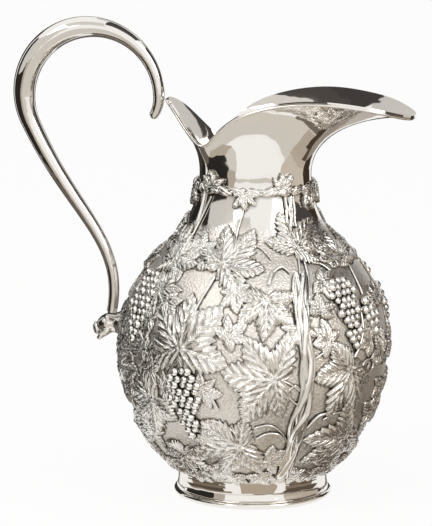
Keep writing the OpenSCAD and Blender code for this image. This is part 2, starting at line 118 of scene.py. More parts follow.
def bent(t, ends):
    """Place at share t of a curve from the first of four ends to the last, drawn by the other two."""
    return ((1 - t) ** 3 * ends[0] + 3 * (1 - t) ** 2 * t * ends[1]
            + 3 * (1 - t) * t**2 * ends[2] + t**3 * ends[3])


def through(rows, n):
    """n points of a smooth curve through the rows of a table."""
    rows = np.asarray(rows, float)
    t = np.linspace(0, len(rows) - 1, n)
    i = np.minimum(t.astype(int), len(rows) - 2)
    f = (t - i)[:, None]
    p = [rows[np.clip(i + k, 0, len(rows) - 1)] for k in (-1, 0, 1, 2)]
    return (2 * p[1] + (p[2] - p[0]) * f + (2 * p[0] - 5 * p[1] + 4 * p[2] - p[3]) * f**2
            + (3 * p[1] - p[0] - 3 * p[2] + p[3]) * f**3) / 2


def eased(p, spread):
    """Rows of points, each one evened out with its neighbours, so that reflections run without a kink."""
    w = np.exp(-0.5 * (np.arange(-3 * spread, 3 * spread + 1) / spread) ** 2)
    w /= w.sum()
    pad = len(w) // 2
    q = np.pad(p, ((pad, pad), (0, 0)), mode="edge")
    return np.stack([np.convolve(q[:, k], w, "valid") for k in range(p.shape[1])], -1)


def run_along(line):
    """Length along a line to each of its points."""
    return np.concatenate([[0], np.cumsum(np.linalg.norm(np.diff(line, axis=0), axis=1))])


def spoke(co, n):
    """Which of n even spokes about the axis each point lies on."""
    way = np.arctan2(co[:, 1], co[:, 0]) % TURN
    return np.round(way / TURN * n).astype(int) % n


# Modelling by hand

def only(obj):
    """Selects one object, and nothing else."""
    bpy.ops.object.select_all(action="DESELECT")
    obj.select_set(True)
    bpy.context.view_layer.objects.active = obj


def named(name):
    """The object in hand, with a name for itself and its mesh."""
    obj = bpy.context.object
    obj.name = obj.data.name = name
    return obj


def started(name, primitive, **settings):
    """A primitive to shape a piece from, with nothing else selected."""
    bpy.ops.object.select_all(action="DESELECT")
    primitive(**settings)
    return named(name)


def edit_ended(merge=0.0):
    """Merges points closer than this, in metres, turns all faces outwards and leaves edit mode."""
    bpy.ops.mesh.select_all(action="SELECT")
    if merge:
        bpy.ops.mesh.remove_doubles(threshold=merge)
    bpy.ops.mesh.normals_make_consistent(inside=False)
    bpy.ops.object.mode_set(mode="OBJECT")


def points_of(obj):
    """Places of the mesh's points, in metres."""
    co = np.empty(len(obj.data.vertices) * 3)
    obj.data.vertices.foreach_get("co", co)
    return co.reshape(-1, 3)


def place(obj, co_mm):
    """Moves the mesh's points to places in millimetres."""
    obj.data.vertices.foreach_set("co", (np.asarray(co_mm) * MM).ravel())
    obj.data.update()


def applied(obj, kind, **settings):
    """Adds a modifier and applies it."""
    only(obj)
    m = obj.modifiers.new(kind.lower(), kind)
    for k, v in settings.items():
        setattr(m, k, v)
    bpy.ops.object.modifier_apply(modifier=m.name)


def walled(obj):
    """Gives a surface the thickness of the ewer's wall, inwards."""
    applied(obj, "SOLIDIFY", thickness=WALL * MM, offset=-1, use_even_offset=True)


def smooth(obj, angle):
    """Shades a piece smooth, but for edges sharper than the angle in degrees."""
    only(obj)
    bpy.ops.object.shade_smooth_by_angle(angle=math.radians(angle))


def spun(name, outline, steps, closed=False):
    """A round piece: one point is drawn out along a half outline, which is spun about the axis."""
    obj = started(name, bpy.ops.mesh.primitive_plane_add, size=MM)
    bpy.ops.object.mode_set(mode="EDIT")
    bpy.ops.mesh.select_all(action="SELECT")
    bpy.ops.mesh.merge(type="CENTER")
    pts = [Vector((r * MM, 0, z * MM)) for r, z in outline]
    bpy.ops.transform.translate(value=pts[0])
    for a, b in zip(pts, pts[1:] + ([pts[0]] if closed else [])):
        bpy.ops.mesh.extrude_region_move(TRANSFORM_OT_translate={"value": b - a})
    bpy.ops.mesh.select_all(action="SELECT")
    bpy.ops.mesh.spin(steps=steps, angle=TURN, center=(0, 0, 0), axis=(0, 0, 1))
    edit_ended(merge=2e-6)
    return obj


def tubes(name, runs, fineness, loop=False, caps=True):
    """Round rods along runs of [x, y, z, radius] in millimetres, drawn as curves and made a mesh."""
    curve = bpy.data.curves.new(name, "CURVE")
    curve.dimensions, curve.bevel_depth, curve.bevel_resolution = "3D", MM, fineness
    curve.use_fill_caps = caps
    for run in runs:
        s = curve.splines.new("POLY")
        s.points.add(len(run) - 1)
        s.use_cyclic_u = loop
        for p, q in zip(s.points, run):
            p.co = (q[0] * MM, q[1] * MM, q[2] * MM, 1)
            p.radius = q[3]
    obj = bpy.data.objects.new(name, curve)
    bpy.context.scene.collection.objects.link(obj)
    only(obj)
    bpy.ops.object.convert(target="MESH")
    obj = named(name)
    bpy.ops.object.mode_set(mode="EDIT")
    edit_ended(merge=1e-6)
    smooth(obj, angle=60)
    return obj


def copied(obj, name):
    """A copy with its own mesh."""
    new = obj.copy()
    new.data = obj.data.copy()
    new.name = new.data.name = name
    bpy.context.scene.collection.objects.link(new)
    return new


def joined(objs, name):
    """Several meshes made one."""
    only(objs[0])
    for o in objs:
        o.select_set(True)
    bpy.ops.object.join()
    return named(name)


def mirrored(obj, name):
    """The same piece on the far side."""
    new = copied(obj, name)
    only(new)
    bpy.ops.object.mode_set(mode="EDIT")
    bpy.ops.mesh.select_all(action="SELECT")
    bpy.ops.transform.mirror(constraint_axis=(False, True, False), center_override=(0, 0, 0))
    edit_ended()
    return new


def marked(obj, name, values):
    """Keeps a value on each of the mesh's points, for the finish to read."""
    layer = obj.data.attributes.new(name, "FLOAT", "POINT")
    layer.data.foreach_set("value", np.broadcast_to(values, len(obj.data.vertices)).astype(np.float32))


def toned(obj, tone):
    """Marks how bright each point is painted, as highlight and shade and the tarnish of furrows: 0 in a dark
    furrow, 1 on a polished, highlit ridge.
    """
    marked(obj, "tone", np.clip(tone, 0, 1))


def off_bowl(obj):
    """How far each point of a piece stands off the bowl, in millimetres."""
    r, z, nr, _ = side(np.linspace(0, share_at(1), 400))
    co = points_of(obj) / MM
    return (np.hypot(co[:, 0], co[:, 1]) - np.interp(co[:, 2], z, r)) * np.interp(co[:, 2], z, nr)


# Finishes

# Marks of the finishes: distance from one to the next, in millimetres. A matting punch leaves marks
# about 0.5 mm apart, which are too fine to show here, so they are drawn coarser.
HAMMER_MM, RUB_MM = 17, 9
PUNCH_MM, PATCH_MM = 1.5, 14
LEAF_GRAIN_MM, LEAF_LINE_MM = 1.6, 1.7
BARK_GRAIN_MM, BARK_LINE_MM = 1.5, 0.9
BARK_DRAWN = 0.14  # width of the bark's grain as a share of its height
# Depth of the marks, and how far round a hollow its painted shade and tarnish spread, in millimetres
HAMMER_DEEP, PUNCH_DEEP, TOOL_DEEP = 0.5, 0.2, 0.18
GROUND_SHADE_TARNISH, CHASED_SHADE_TARNISH = 3.5, 3.0
SHADE_TARNISH_SAMPLES = 6
# Upper edge of the matting on the shoulder: height, fade and raggedness, in millimetres
MATT_TOP, MATT_FADE, MATT_RAGGED = 175.5, 10.0, 12.0
LINE_SHARE = 0.35  # of the chased lines beside the grain of the tool
# Sockets of a Mix node that mixes colours
MIX_BY, MIX_A, MIX_B, MIXED = 0, 6, 7, 2


def silver_hex(h):
    """Linear colour from an sRGB hex value."""
    c = [int(h[i:i + 2], 16) / 255 for i in (1, 3, 5)]
    return [v / 12.92 if v <= 0.04045 else ((v + 0.055) / 1.055) ** 2.4 for v in c] + [1]


def add(owner, kind, settings=None, inputs=None):
    """Adds a node with its settings, values and links to a material or the world."""
    n = owner.node_tree.nodes.new(kind)
    for k, v in (settings or {}).items():
        setattr(n, k, v)
    for k, v in (inputs or {}).items():
        if isinstance(v, bpy.types.NodeSocket):
            owner.node_tree.links.new(v, n.inputs[k])
        else:
            n.inputs[k].default_value = v
    return n


def fresh(name):
    """A material with no nodes yet."""
    mat = bpy.data.materials.new(name)
    mat.use_nodes = True
    mat.node_tree.nodes.clear()
    return mat


def per_mm(size):
    """Scale of a texture whose marks are this many millimetres apart."""
    return 1 / (size * MM)


SILVER = silver_hex("#f0ece6")


def polished_sterling():
    """Sterling silver, planished and mirror-polished: slow dents from the hammer bend its reflections."""
    m = fresh("polished_sterling_silver")
    at = add(m, "ShaderNodeTexCoord").outputs["Object"]
    dents = add(m, "ShaderNodeTexNoise", inputs={
        "Vector": at, "Scale": per_mm(HAMMER_MM), "Detail": 2.0})
    rub = add(m, "ShaderNodeTexNoise", inputs={"Vector": at, "Scale": per_mm(RUB_MM), "Detail": 3.0})
    dull = add(m, "ShaderNodeMapRange", inputs={
        "Value": rub.outputs["Fac"], "From Min": 0.3, "From Max": 0.75, "To Min": 0.035, "To Max": 0.085})
    bump = add(m, "ShaderNodeBump", inputs={
        "Height": dents.outputs["Fac"], "Strength": 1.0, "Distance": HAMMER_DEEP * MM})
    metal = add(m, "ShaderNodeBsdfPrincipled", inputs={
        "Base Color": SILVER, "Metallic": 1.0, "Roughness": dull.outputs[0], "Normal": bump.outputs[0]})
    add(m, "ShaderNodeOutputMaterial", inputs={"Surface": metal.outputs[0]})
    return m


def matted_sterling():
    """Sterling silver struck all over with a matting punch, greyed in the pits; polished at the shoulder."""
    m = fresh("matted_sterling_silver")
    at = add(m, "ShaderNodeTexCoord").outputs["Object"]
    punch = add(m, "ShaderNodeTexVoronoi", inputs={"Vector": at, "Scale": per_mm(PUNCH_MM)})
    patch = add(m, "ShaderNodeTexNoise", inputs={"Vector": at, "Scale": per_mm(PATCH_MM), "Detail": 2.0})
    # the polish begins at an uneven height
    high = add(m, "ShaderNodeSeparateXYZ", inputs={0: at})
    edge = add(m, "ShaderNodeMath", {"operation": "MULTIPLY_ADD"}, {
        0: patch.outputs["Fac"], 1: MATT_RAGGED * MM, 2: high.outputs["Z"]})
    shine = add(m, "ShaderNodeMapRange", inputs={
        "Value": edge.outputs[0], "From Min": MATT_TOP * MM, "From Max": (MATT_TOP + MATT_FADE) * MM,
        "To Min": 0.0, "To Max": 1.0})
    # pits of the punch, and painted shade with tarnish in the corners beside the vine
    pit = add(m, "ShaderNodeMapRange", inputs={
        "Value": punch.outputs["Distance"], "From Min": 0.15, "From Max": 0.65, "To Min": 1.0, "To Max": 0.0})
    ground = add(m, "ShaderNodeMix", {"data_type": "RGBA"}, {
        MIX_BY: pit.outputs[0], MIX_A: silver_hex("#e1dbd2"), MIX_B: silver_hex("#f8f5f0")})
    base = add(m, "ShaderNodeMix", {"data_type": "RGBA"}, {
        MIX_BY: shine.outputs[0], MIX_A: ground.outputs[MIXED], MIX_B: SILVER})
    hollow = add(m, "ShaderNodeAmbientOcclusion", {"samples": SHADE_TARNISH_SAMPLES}, {"Distance": GROUND_SHADE_TARNISH * MM})
    shade = add(m, "ShaderNodeMapRange", inputs={
        "Value": hollow.outputs["AO"], "From Min": 0.3, "From Max": 0.8, "To Min": 0.0, "To Max": 1.0})
    shade_and_tarnish = add(m, "ShaderNodeMix", {"data_type": "RGBA"}, {
        MIX_BY: shade.outputs[0], MIX_A: silver_hex("#5d554b"), MIX_B: base.outputs[MIXED]})
    dull = add(m, "ShaderNodeMapRange", inputs={
        "Value": shine.outputs[0], "From Min": 0.0, "From Max": 1.0, "To Min": 0.4, "To Max": 0.07})
    matt = add(m, "ShaderNodeMath", {"operation": "MULTIPLY_ADD"}, {0: shine.outputs[0], 1: -1.0, 2: 1.0})
    grain = add(m, "ShaderNodeMath", {"operation": "MULTIPLY"}, {0: pit.outputs[0], 1: matt.outputs[0]})
    bump = add(m, "ShaderNodeBump", inputs={
        "Height": grain.outputs[0], "Strength": 1.0, "Distance": PUNCH_DEEP * MM})
    metal = add(m, "ShaderNodeBsdfPrincipled", inputs={
        "Base Color": shade_and_tarnish.outputs[MIXED], "Metallic": 1.0,
        "Roughness": dull.outputs[0], "Normal": bump.outputs[0]})
    add(m, "ShaderNodeOutputMaterial", inputs={"Surface": metal.outputs[0]})
    return m


def chased_sterling(name, grain_mm, drawn, line_mm):
    """Cast sterling silver, chased by hand: painted highlights on its polished ridges, painted shade and
    tarnish in its furrows.
    """
    m = fresh(name)
    at = add(m, "ShaderNodeTexCoord").outputs["Object"]
    along = add(m, "ShaderNodeMapping", inputs={"Vector": at, "Scale": (1, 1, drawn)})
    tool = add(m, "ShaderNodeTexNoise", inputs={
        "Vector": along.outputs[0], "Scale": per_mm(grain_mm), "Detail": 2.0})
    # from the painted shade and tarnish of a furrow to plain silver, and from there to a polished ridge's
    # painted highlight
    tone = add(m, "ShaderNodeAttribute", {"attribute_name": "tone"})
    mid = add(m, "ShaderNodeMapRange", inputs={
        "Value": tone.outputs["Fac"], "From Min": 0.0, "From Max": 0.5, "To Min": 0.0, "To Max": 1.0})
    top = add(m, "ShaderNodeMapRange", inputs={
        "Value": tone.outputs["Fac"], "From Min": 0.5, "From Max": 1.0, "To Min": 0.0, "To Max": 1.0})
    low = add(m, "ShaderNodeMix", {"data_type": "RGBA"}, {
        MIX_BY: mid.outputs[0], MIX_A: silver_hex("#5f564c"), MIX_B: silver_hex("#ebe7e0")})
    rubbed_and_highlit = add(m, "ShaderNodeMix", {"data_type": "RGBA"}, {
        MIX_BY: top.outputs[0], MIX_A: low.outputs[MIXED], MIX_B: silver_hex("#fbf9f5")})
    # painted shade, with tarnish, where other pieces close in round a point
    hollow = add(m, "ShaderNodeAmbientOcclusion", {"samples": SHADE_TARNISH_SAMPLES}, {"Distance": CHASED_SHADE_TARNISH * MM})
    shade = add(m, "ShaderNodeMapRange", inputs={
        "Value": hollow.outputs["AO"], "From Min": 0.2, "From Max": 0.72, "To Min": 0.0, "To Max": 1.0})
    shade_and_tarnish = add(m, "ShaderNodeMix", {"data_type": "RGBA"}, {
        MIX_BY: shade.outputs[0], MIX_A: silver_hex("#3d372f"), MIX_B: rubbed_and_highlit.outputs[MIXED]})
    dull = add(m, "ShaderNodeMapRange", inputs={
        "Value": tone.outputs["Fac"], "From Min": 0.0, "From Max": 1.0, "To Min": 0.24, "To Max": 0.08})
    # chased lines follow the side veins of a leaf; a piece without that mark has the tool's grain alone
    hatch = add(m, "ShaderNodeAttribute", {"attribute_name": "hatch"})
    turns = add(m, "ShaderNodeMath", {"operation": "MULTIPLY"}, {0: hatch.outputs["Fac"], 1: TURN / line_mm})
    lines = add(m, "ShaderNodeMath", {"operation": "SINE"}, {0: turns.outputs[0]})
    cut = add(m, "ShaderNodeMath", {"operation": "MULTIPLY_ADD"}, {
        0: lines.outputs[0], 1: LINE_SHARE, 2: tool.outputs["Fac"]})
    bump = add(m, "ShaderNodeBump", inputs={
        "Height": cut.outputs[0], "Strength": 1.0, "Distance": TOOL_DEEP * MM})
    metal = add(m, "ShaderNodeBsdfPrincipled", inputs={
        "Base Color": shade_and_tarnish.outputs[MIXED], "Metallic": 1.0,
        "Roughness": dull.outputs[0], "Normal": bump.outputs[0]})
    add(m, "ShaderNodeOutputMaterial", inputs={"Surface": metal.outputs[0]})
    return m


POLISHED = polished_sterling()
MATTED = matted_sterling()
CHASED = chased_sterling("chased_sterling_silver", LEAF_GRAIN_MM, 1.0, LEAF_LINE_MM)
BARK = chased_sterling("chased_sterling_vine_bark", BARK_GRAIN_MM, BARK_DRAWN, BARK_LINE_MM)


def dress(obj, mat, slot, *nodes):
    """Gives a piece its finish and body, and hides the nodes that it stands for. The slot is not used."""
    obj.data.materials.clear()
    obj.data.materials.append(mat)
    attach(obj, "root")
    if nodes:
        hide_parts(*nodes)


def dress_both(near, mat, *nodes):
    """Dresses a piece of the near side, and its mirror image on the far side."""
    far = mirrored(near, near.name.replace("near", "far"))
    dress(near, mat, "chased_silver", *nodes)
    dress(far, mat, "chased_silver", *[n.replace("near", "far") for n in nodes])


# Bowl and foot

ROUND_STEPS, SIDE_POINTS, BEAD_POINTS, COVE_POINTS = 256, 110, 13, 16
# Top of the foot, which clears the bowl's side: how far its outer edge is drawn in and raised, how far
# its inner edge is drawn in, and how far above the floor that edge is measured, in millimetres
EDGE_IN, EDGE_UP, INNER_IN, INNER_UP = 0.6, 0.1, 0.2, 0.4


def make_bowl():
    """The bowl, spun from its floor to the seam and given its wall."""
    r, z, _, _ = side(np.linspace(0, side_at(SEAM_Z), SIDE_POINTS))
    floor = [(0, FLOOR_Z), (r[0] / 2, FLOOR_Z)]
    bowl = spun("raised_bowl", floor + list(zip(r, z)), ROUND_STEPS)
    walled(bowl)
    smooth(bowl, angle=50)
    dress(bowl, MATTED, "matted_silver", "bowl")


def make_foot():
    """A collar with a hollow side on a rounded flange."""
    bead = [(FOOT_R - BEAD_R + BEAD_R * math.sin(t), BEAD_R - BEAD_R * math.cos(t))
            for t in np.linspace(0, math.pi, BEAD_POINTS)]
    mid = (2 * BEAD_R + FOOT_H) / 2
    cove = []
    for z in np.linspace(2 * BEAD_R, FOOT_H, COVE_POINTS):
        r = WAIST_R + COVE_R - math.sqrt(COVE_R**2 - (z - mid) ** 2)
        cove.append((min(r, FOOT_R - BEAD_R), z))
    outer_r, inner_r = [LOW_X + (LOWER_R + SEAT) * math.cos(math.asin((z - BELLY_Z) / LOWER_R))
                        for z in (FOOT_H, FLOOR_Z - SEAT + INNER_UP)]
    top = [(min(outer_r, cove[-1][0]) - EDGE_IN, FOOT_H + EDGE_UP),
           (inner_r - INNER_IN, FLOOR_Z), (FOOT_IN_R, FLOOR_Z - SEAT)]
    foot = spun("foot_collar", [(FOOT_IN_R, 0)] + bead + cove[1:] + top, ROUND_STEPS, closed=True)
    smooth(foot, angle=35)
    dress(foot, POLISHED, "polished_silver", "foot_ring")


# Course of the handle: a curled tip, a round loop and a lower limb, in steps as in the part's source

TIP_A, LOOP_END_A, TIP_R = -38.0, 205.0, 0.5 * LOOP_R
TIP_STEPS, LOOP_STEPS, LIMB_STEPS, STEP_POINTS = 5, 24, 14, 4
# Length of the lower bends, as shares of the height they span
LOOP_PULL, ROOT_PULL = 0.54, 0.4
# Thickness: way along the handle and share of HANDLE_D
GIRTH = [[0, .34], [.07, .45], [.16, .48], [.28, .66], [.42, .97], [.5, 1], [.6, .92], [.75, .62],
         [.9, .46], [1, .42]]
GIRTH_POINTS, GIRTH_SPREAD, TIP_BLUNT = 400, 15, 0.02


# Neck, lip and rim

# Rim from the spout's tip round one side to the back point: shares of reach, half width and rise
SPOUT_RIM = [[1, 0, .63], [.97, .4, .66], [.82, .78, .83], [.62, .93, .95], [.44, 1, 1], [.27, .99, .97],
             [.1, .95, .86], [-.06, .9, .66], [-.19, .82, .34]]
BACK_RIM = [[-.5, .74, 0], [-.66, .64, .24], [-.84, .42, .62], [-.95, .2, .8], [-1, 0, .85]]
# Slope of the lip at its rim, in degrees above level, row by row
RIM_SLOPES = [-2, 0, 8, 18, 30, 42, 56, 66, 72, 74, 68, 60, 54, 52]
RIM_ROW_POINTS, RIM_SPREAD, RIM_WIRE_POINTS = 60, 16, 320
# The back point stops short of the handle's curled tip by the reach of the rim wire
BACK_WIRE = 1.31
TIP_END_GIRTH = np.interp(TIP_STEPS / (TIP_STEPS + LOOP_STEPS + LIMB_STEPS), *zip(*GIRTH))
BACK_REACH = LOOP_X - LOOP_R - HANDLE_D / 2 * TIP_END_GIRTH - SEAT - BACK_WIRE
NECK_SIDES, NECK_ROWS, LIP_ROWS = 240, 8, 52
# How far a strip of the lip keeps its direction from the neck and to the rim, as shares of its span
NECK_PULL, LIP_PULL = 0.34, 0.42
# Place of the rim wire beside and below the lip's edge, as shares of its radius
WIRE_BESIDE, WIRE_BELOW = 0.75, 0.8


def rim_loop(n):
    """Points of the rim and the lip's slope there, evenly spaced all round from the spout's tip."""
    rise = CREST_Z - DIP_Z
    rows = [[x * SPOUT_REACH, y * SPOUT_HALF_W, DIP_Z + k * rise] for x, y, k in SPOUT_RIM]
    rows += [[x * BACK_REACH, y * SPOUT_HALF_W, DIP_Z + k * rise] for x, y, k in BACK_RIM]
    rows = [r + [a] for r, a in zip(rows, RIM_SLOPES)]
    rows += [[x, -y, z, a] for x, y, z, a in rows[-2:0:-1]]
    # some rows come twice, so that the curve runs on smoothly where the loop closes
    lapped = rows[-3:] + rows + rows[:4]
    pts = eased(through(lapped, (len(lapped) - 1) * RIM_ROW_POINTS + 1), RIM_SPREAD)
    # the spout's tip is the foremost point within 3 mm of the middle
    by_middle = np.abs(pts[:, 1]) < 3
    start = np.argmax(pts[:, 0] * by_middle)
    pts = pts[start:start + len(rows) * RIM_ROW_POINTS]
    loop = np.vstack([pts, pts[:1]])
    run = run_along(loop[:, :3])
    want = np.linspace(0, run[-1], n, endpoint=False)
    return np.stack([np.interp(want, run, loop[:, k]) for k in range(4)], -1)


def make_neck():
    """A tube, cut into rows along its uprights, whose strips bend out to the rim of the helmet lip."""
    neck = started("neck_and_helmet_lip", bpy.ops.mesh.primitive_cylinder_add,
                   vertices=NECK_SIDES, radius=NECK_R * MM, depth=1, end_fill_type="NOTHING")
    bpy.ops.object.mode_set(mode="EDIT")
    bpy.ops.mesh.select_mode(type="EDGE")
    bpy.ops.mesh.select_all(action="DESELECT")
    bpy.ops.object.mode_set(mode="OBJECT")
    co = points_of(neck)
    # only the upright edges are cut into rows
    for e in neck.data.edges:
        e.select = abs(co[e.vertices[0]][2] - co[e.vertices[1]][2]) > 0.5
    bpy.ops.object.mode_set(mode="EDIT")
    bpy.ops.mesh.subdivide(number_cuts=NECK_ROWS + LIP_ROWS - 1)
    bpy.ops.object.mode_set(mode="OBJECT")
    co = points_of(neck)
    rim = rim_loop(NECK_SIDES)[spoke(co, NECK_SIDES)]
    row = (co[:, 2] + 0.5) * (NECK_ROWS + LIP_ROWS)
    x, y, top, slope = rim[:, 0], rim[:, 1], rim[:, 2], np.radians(rim[:, 3])
    reach = np.hypot(x, y)
    # below the narrowest ring the neck goes on with the bowl's hollow arc
    z_low = SEAM_Z + SEAT + (NECK_Z - SEAM_Z - SEAT) * np.minimum(row, NECK_ROWS) / NECK_ROWS
    r_low = HOLLOW_X - np.sqrt(HOLLOW_R**2 - (z_low - NECK_Z) ** 2)
    # above it each upright strip bends out to its place on the rim
    t = np.clip((row - NECK_ROWS) / LIP_ROWS, 0, 1)
    span = np.hypot(reach - NECK_R, top - NECK_Z)
    r_up = bent(t, [NECK_R, NECK_R, reach - np.cos(slope) * LIP_PULL * span, reach])
    z_up = bent(t, [NECK_Z, NECK_Z + NECK_PULL * span, top - np.sin(slope) * LIP_PULL * span, top])
    low = row < NECK_ROWS
    r, z = np.where(low, r_low, r_up), np.where(low, z_low, z_up)
    place(neck, np.stack([r * x / reach, r * y / reach, z], -1))
    walled(neck)
    smooth(neck, angle=60)
    dress(neck, POLISHED, "polished_silver", "neck")


def make_rim_wire():
    """A round wire under the lip's edge, all the way round."""
    rim = rim_loop(RIM_WIRE_POINTS)
    p, slope = rim[:, :3], np.radians(rim[:, 3])
    out = p * [1, 1, 0] / np.hypot(p[:, 0], p[:, 1])[:, None]
    up_lip = np.cos(slope)[:, None] * out + np.sin(slope)[:, None] * [0, 0, 1]
    along = np.roll(p, -1, 0) - np.roll(p, 1, 0)
    along /= np.linalg.norm(along, axis=1)[:, None]
    beside = np.cross(along, up_lip)
    beside /= np.linalg.norm(beside, axis=1)[:, None]
    above = np.cross(beside, along)
    mid = p + RIM_WIRE_D / 2 * (WIRE_BESIDE * beside - WIRE_BELOW * above)
    run = np.column_stack([mid, np.full(len(mid), RIM_WIRE_D / 2)])
    wire = tubes("rim_wire_band", [run], fineness=3, loop=True, caps=False)
    dress(wire, POLISHED, "polished_silver", "rim_wire")


# Handle and its root

# Stub of the root: way out, drop and radius, as shares of STUB_REACH, STUB_R and STUB_GIRTH
STUB = [[0, 0, 1.35], [.14, 0, 1.2], [.3, 0, 1], [.5, .04, 1.02], [.68, .3, .86], [.8, .5, .64],
        [.9, .62, .7], [1, .7, .42]]
STUB_R, STUB_REACH, STUB_GIRTH, STUB_GAP, STUB_SEAT = 6.4, 19.5, 6.2, 0.3, 0.4
# Knots and twigs at both sides of it: way out, across and up from its middle, and radius
KNOT = [[6, -3.4, 3.5, 2.6], [9, -5.6, 4.6, 2.2], [11, -6.6, 5.6, 1.5]]
TWIG = [[9, 3, -4, 2.4], [13, 4.4, -6.8, 2], [16, 5, -9.5, 1.2]]
OTHER_SIDE = [1, -1, 1, 1]
STUB_POINTS, KNOT_POINTS = 60, 12
BARK_LUMP, BARK_LUMP_H, ROOT_TONE = 6.0, 1.6, 0.6


def handle_line():
    """Middle line of the handle from its curled tip to its lower end, as points [x, z]."""
    def arc(mid, r, a):
        return mid + r * np.stack([np.cos(np.radians(a)), np.sin(np.radians(a))], -1)

    loop_mid = np.array([-LOOP_X, LOOP_Z])
    tip_mid = loop_mid + [LOOP_R - TIP_R, 0]
    start, end = arc(loop_mid, LOOP_R, LOOP_END_A), np.array([-ROOT_X, ROOT_Z])
    drop = start[1] - end[1]
    a, lean = math.radians(LOOP_END_A), math.radians(ROOT_LEAN)
    ends = [start, start + LOOP_PULL * drop * np.array([-math.sin(a), math.cos(a)]),
            end + ROOT_PULL * drop * np.array([math.sin(lean), math.cos(lean)]), end]
    tip = np.linspace(TIP_A, 0, TIP_STEPS * STEP_POINTS, endpoint=False)
    loop = np.linspace(0, LOOP_END_A, LOOP_STEPS * STEP_POINTS, endpoint=False)
    limb = np.linspace(0, 1, LIMB_STEPS * STEP_POINTS + 1)[:, None]
    return np.vstack([arc(tip_mid, TIP_R, tip), arc(loop_mid, LOOP_R, loop), bent(limb, ends)])


def make_handle():
    """A round rod that swells at the outer bend and thins to both ends."""
    line = handle_line()
    fine = np.linspace(0, 1, GIRTH_POINTS)
    girth = eased(np.interp(fine, *zip(*GIRTH))[:, None], GIRTH_SPREAD)[:, 0]
    r = HANDLE_D / 2 * np.interp(np.linspace(0, 1, len(line)), fine, girth)
    # the free end of the curl is rounded over
    way_in = np.clip(1 - run_along(line) / r[0], 0, 1)
    r *= np.sqrt(np.clip(1 - way_in**2, TIP_BLUNT, 1))
    run = np.column_stack([line[:, 0], np.zeros(len(line)), line[:, 1], r])
    handle = tubes("looped_handle", [run], fineness=7)
    dress(handle, POLISHED, "polished_silver", "handle")


def make_root():
    """A knotted stub of vine under the handle's lower end."""
    z = ROOT_Z - STUB_R - STUB_SEAT - GIRTH[-1][1] * HANDLE_D / 2 * math.sin(math.radians(ROOT_LEAN))
    r0 = float(side(side_at(z))[0])
    stub = through([[-(r0 + STUB_GAP + out * STUB_REACH), 0, z - drop * STUB_R, r * STUB_GIRTH]
                    for out, drop, r in STUB], STUB_POINTS)
    knot, twig = [through([[-(r0 + out), y, z + up, r] for out, y, up, r in rows], KNOT_POINTS)
                  for rows in (KNOT, TWIG)]
    runs = [stub, knot, knot * OTHER_SIDE, twig, twig * OTHER_SIDE]
    root = tubes("vine_root", runs, fineness=4)
    lumps = bpy.data.textures.new("bark_lumps", "CLOUDS")
    lumps.noise_scale = BARK_LUMP * MM
    applied(root, "DISPLACE", texture=lumps, strength=BARK_LUMP_H * MM, mid_level=0.5)
    smooth(root, angle=180)
    toned(root, ROOT_TONE)
    dress(root, BARK, "chased_silver", "handle_root")


# Leaves

# Lobes: angle of the rib from the leaf's tip, length and half width as shares of the leaf's length
VINE_LOBES = [[0, 1, .3], [50, .94, .28], [104, .77, .26], [-50, .94, .28], [-104, .77, .26]]
GARLAND_LOBES = [[0, 1, .27], [44, .96, .25], [96, .84, .25], [-44, .96, .25], [-96, .84, .25]]
# Kinds of leaf: lobes, side veins on each half of a lobe, depth of the teeth, points round the edge,
# rings of faces, height as a share of a large leaf's, and lift off the bowl in millimetres
VINE_LEAF = dict(lobes=VINE_LOBES, veins=5.2, tooth=0.38, points=330, rings=42, rise=1.0, lift=0.0)
SMALL_LEAF = dict(lobes=VINE_LOBES, veins=4.2, tooth=0.34, points=108, rings=14, rise=0.8, lift=0.0)
GARLAND_LEAF = dict(lobes=GARLAND_LOBES, veins=3.0, tooth=0.15, points=144, rings=14, rise=0.8, lift=1.5)
# Leaves of the near side: angle, share of the height, share of LEAF_LEN and turn from upright
LEAVES = [[-99, .742, .86, 40], [-75.5, .644, .68, 183], [-72, .402, 1.02, -86], [-86.5, .172, .88, -102],
          [-113.3, .486, 1.1, 0], [-50.5, .787, .7, 35], [-49.4, .605, .37, 14], [-36.5, .412, .88, -146],
          [-30, .18, .94, -128], [-14, .742, .56, 0], [-12, .432, .5, 15], [-129, .3, .82, -128],
          [-119, .13, .6, 195], [-156, .37, .86, -25], [-160, .17, .7, 150], [-134, .735, .66, -15],
          [-8, .1, .36, 180]]
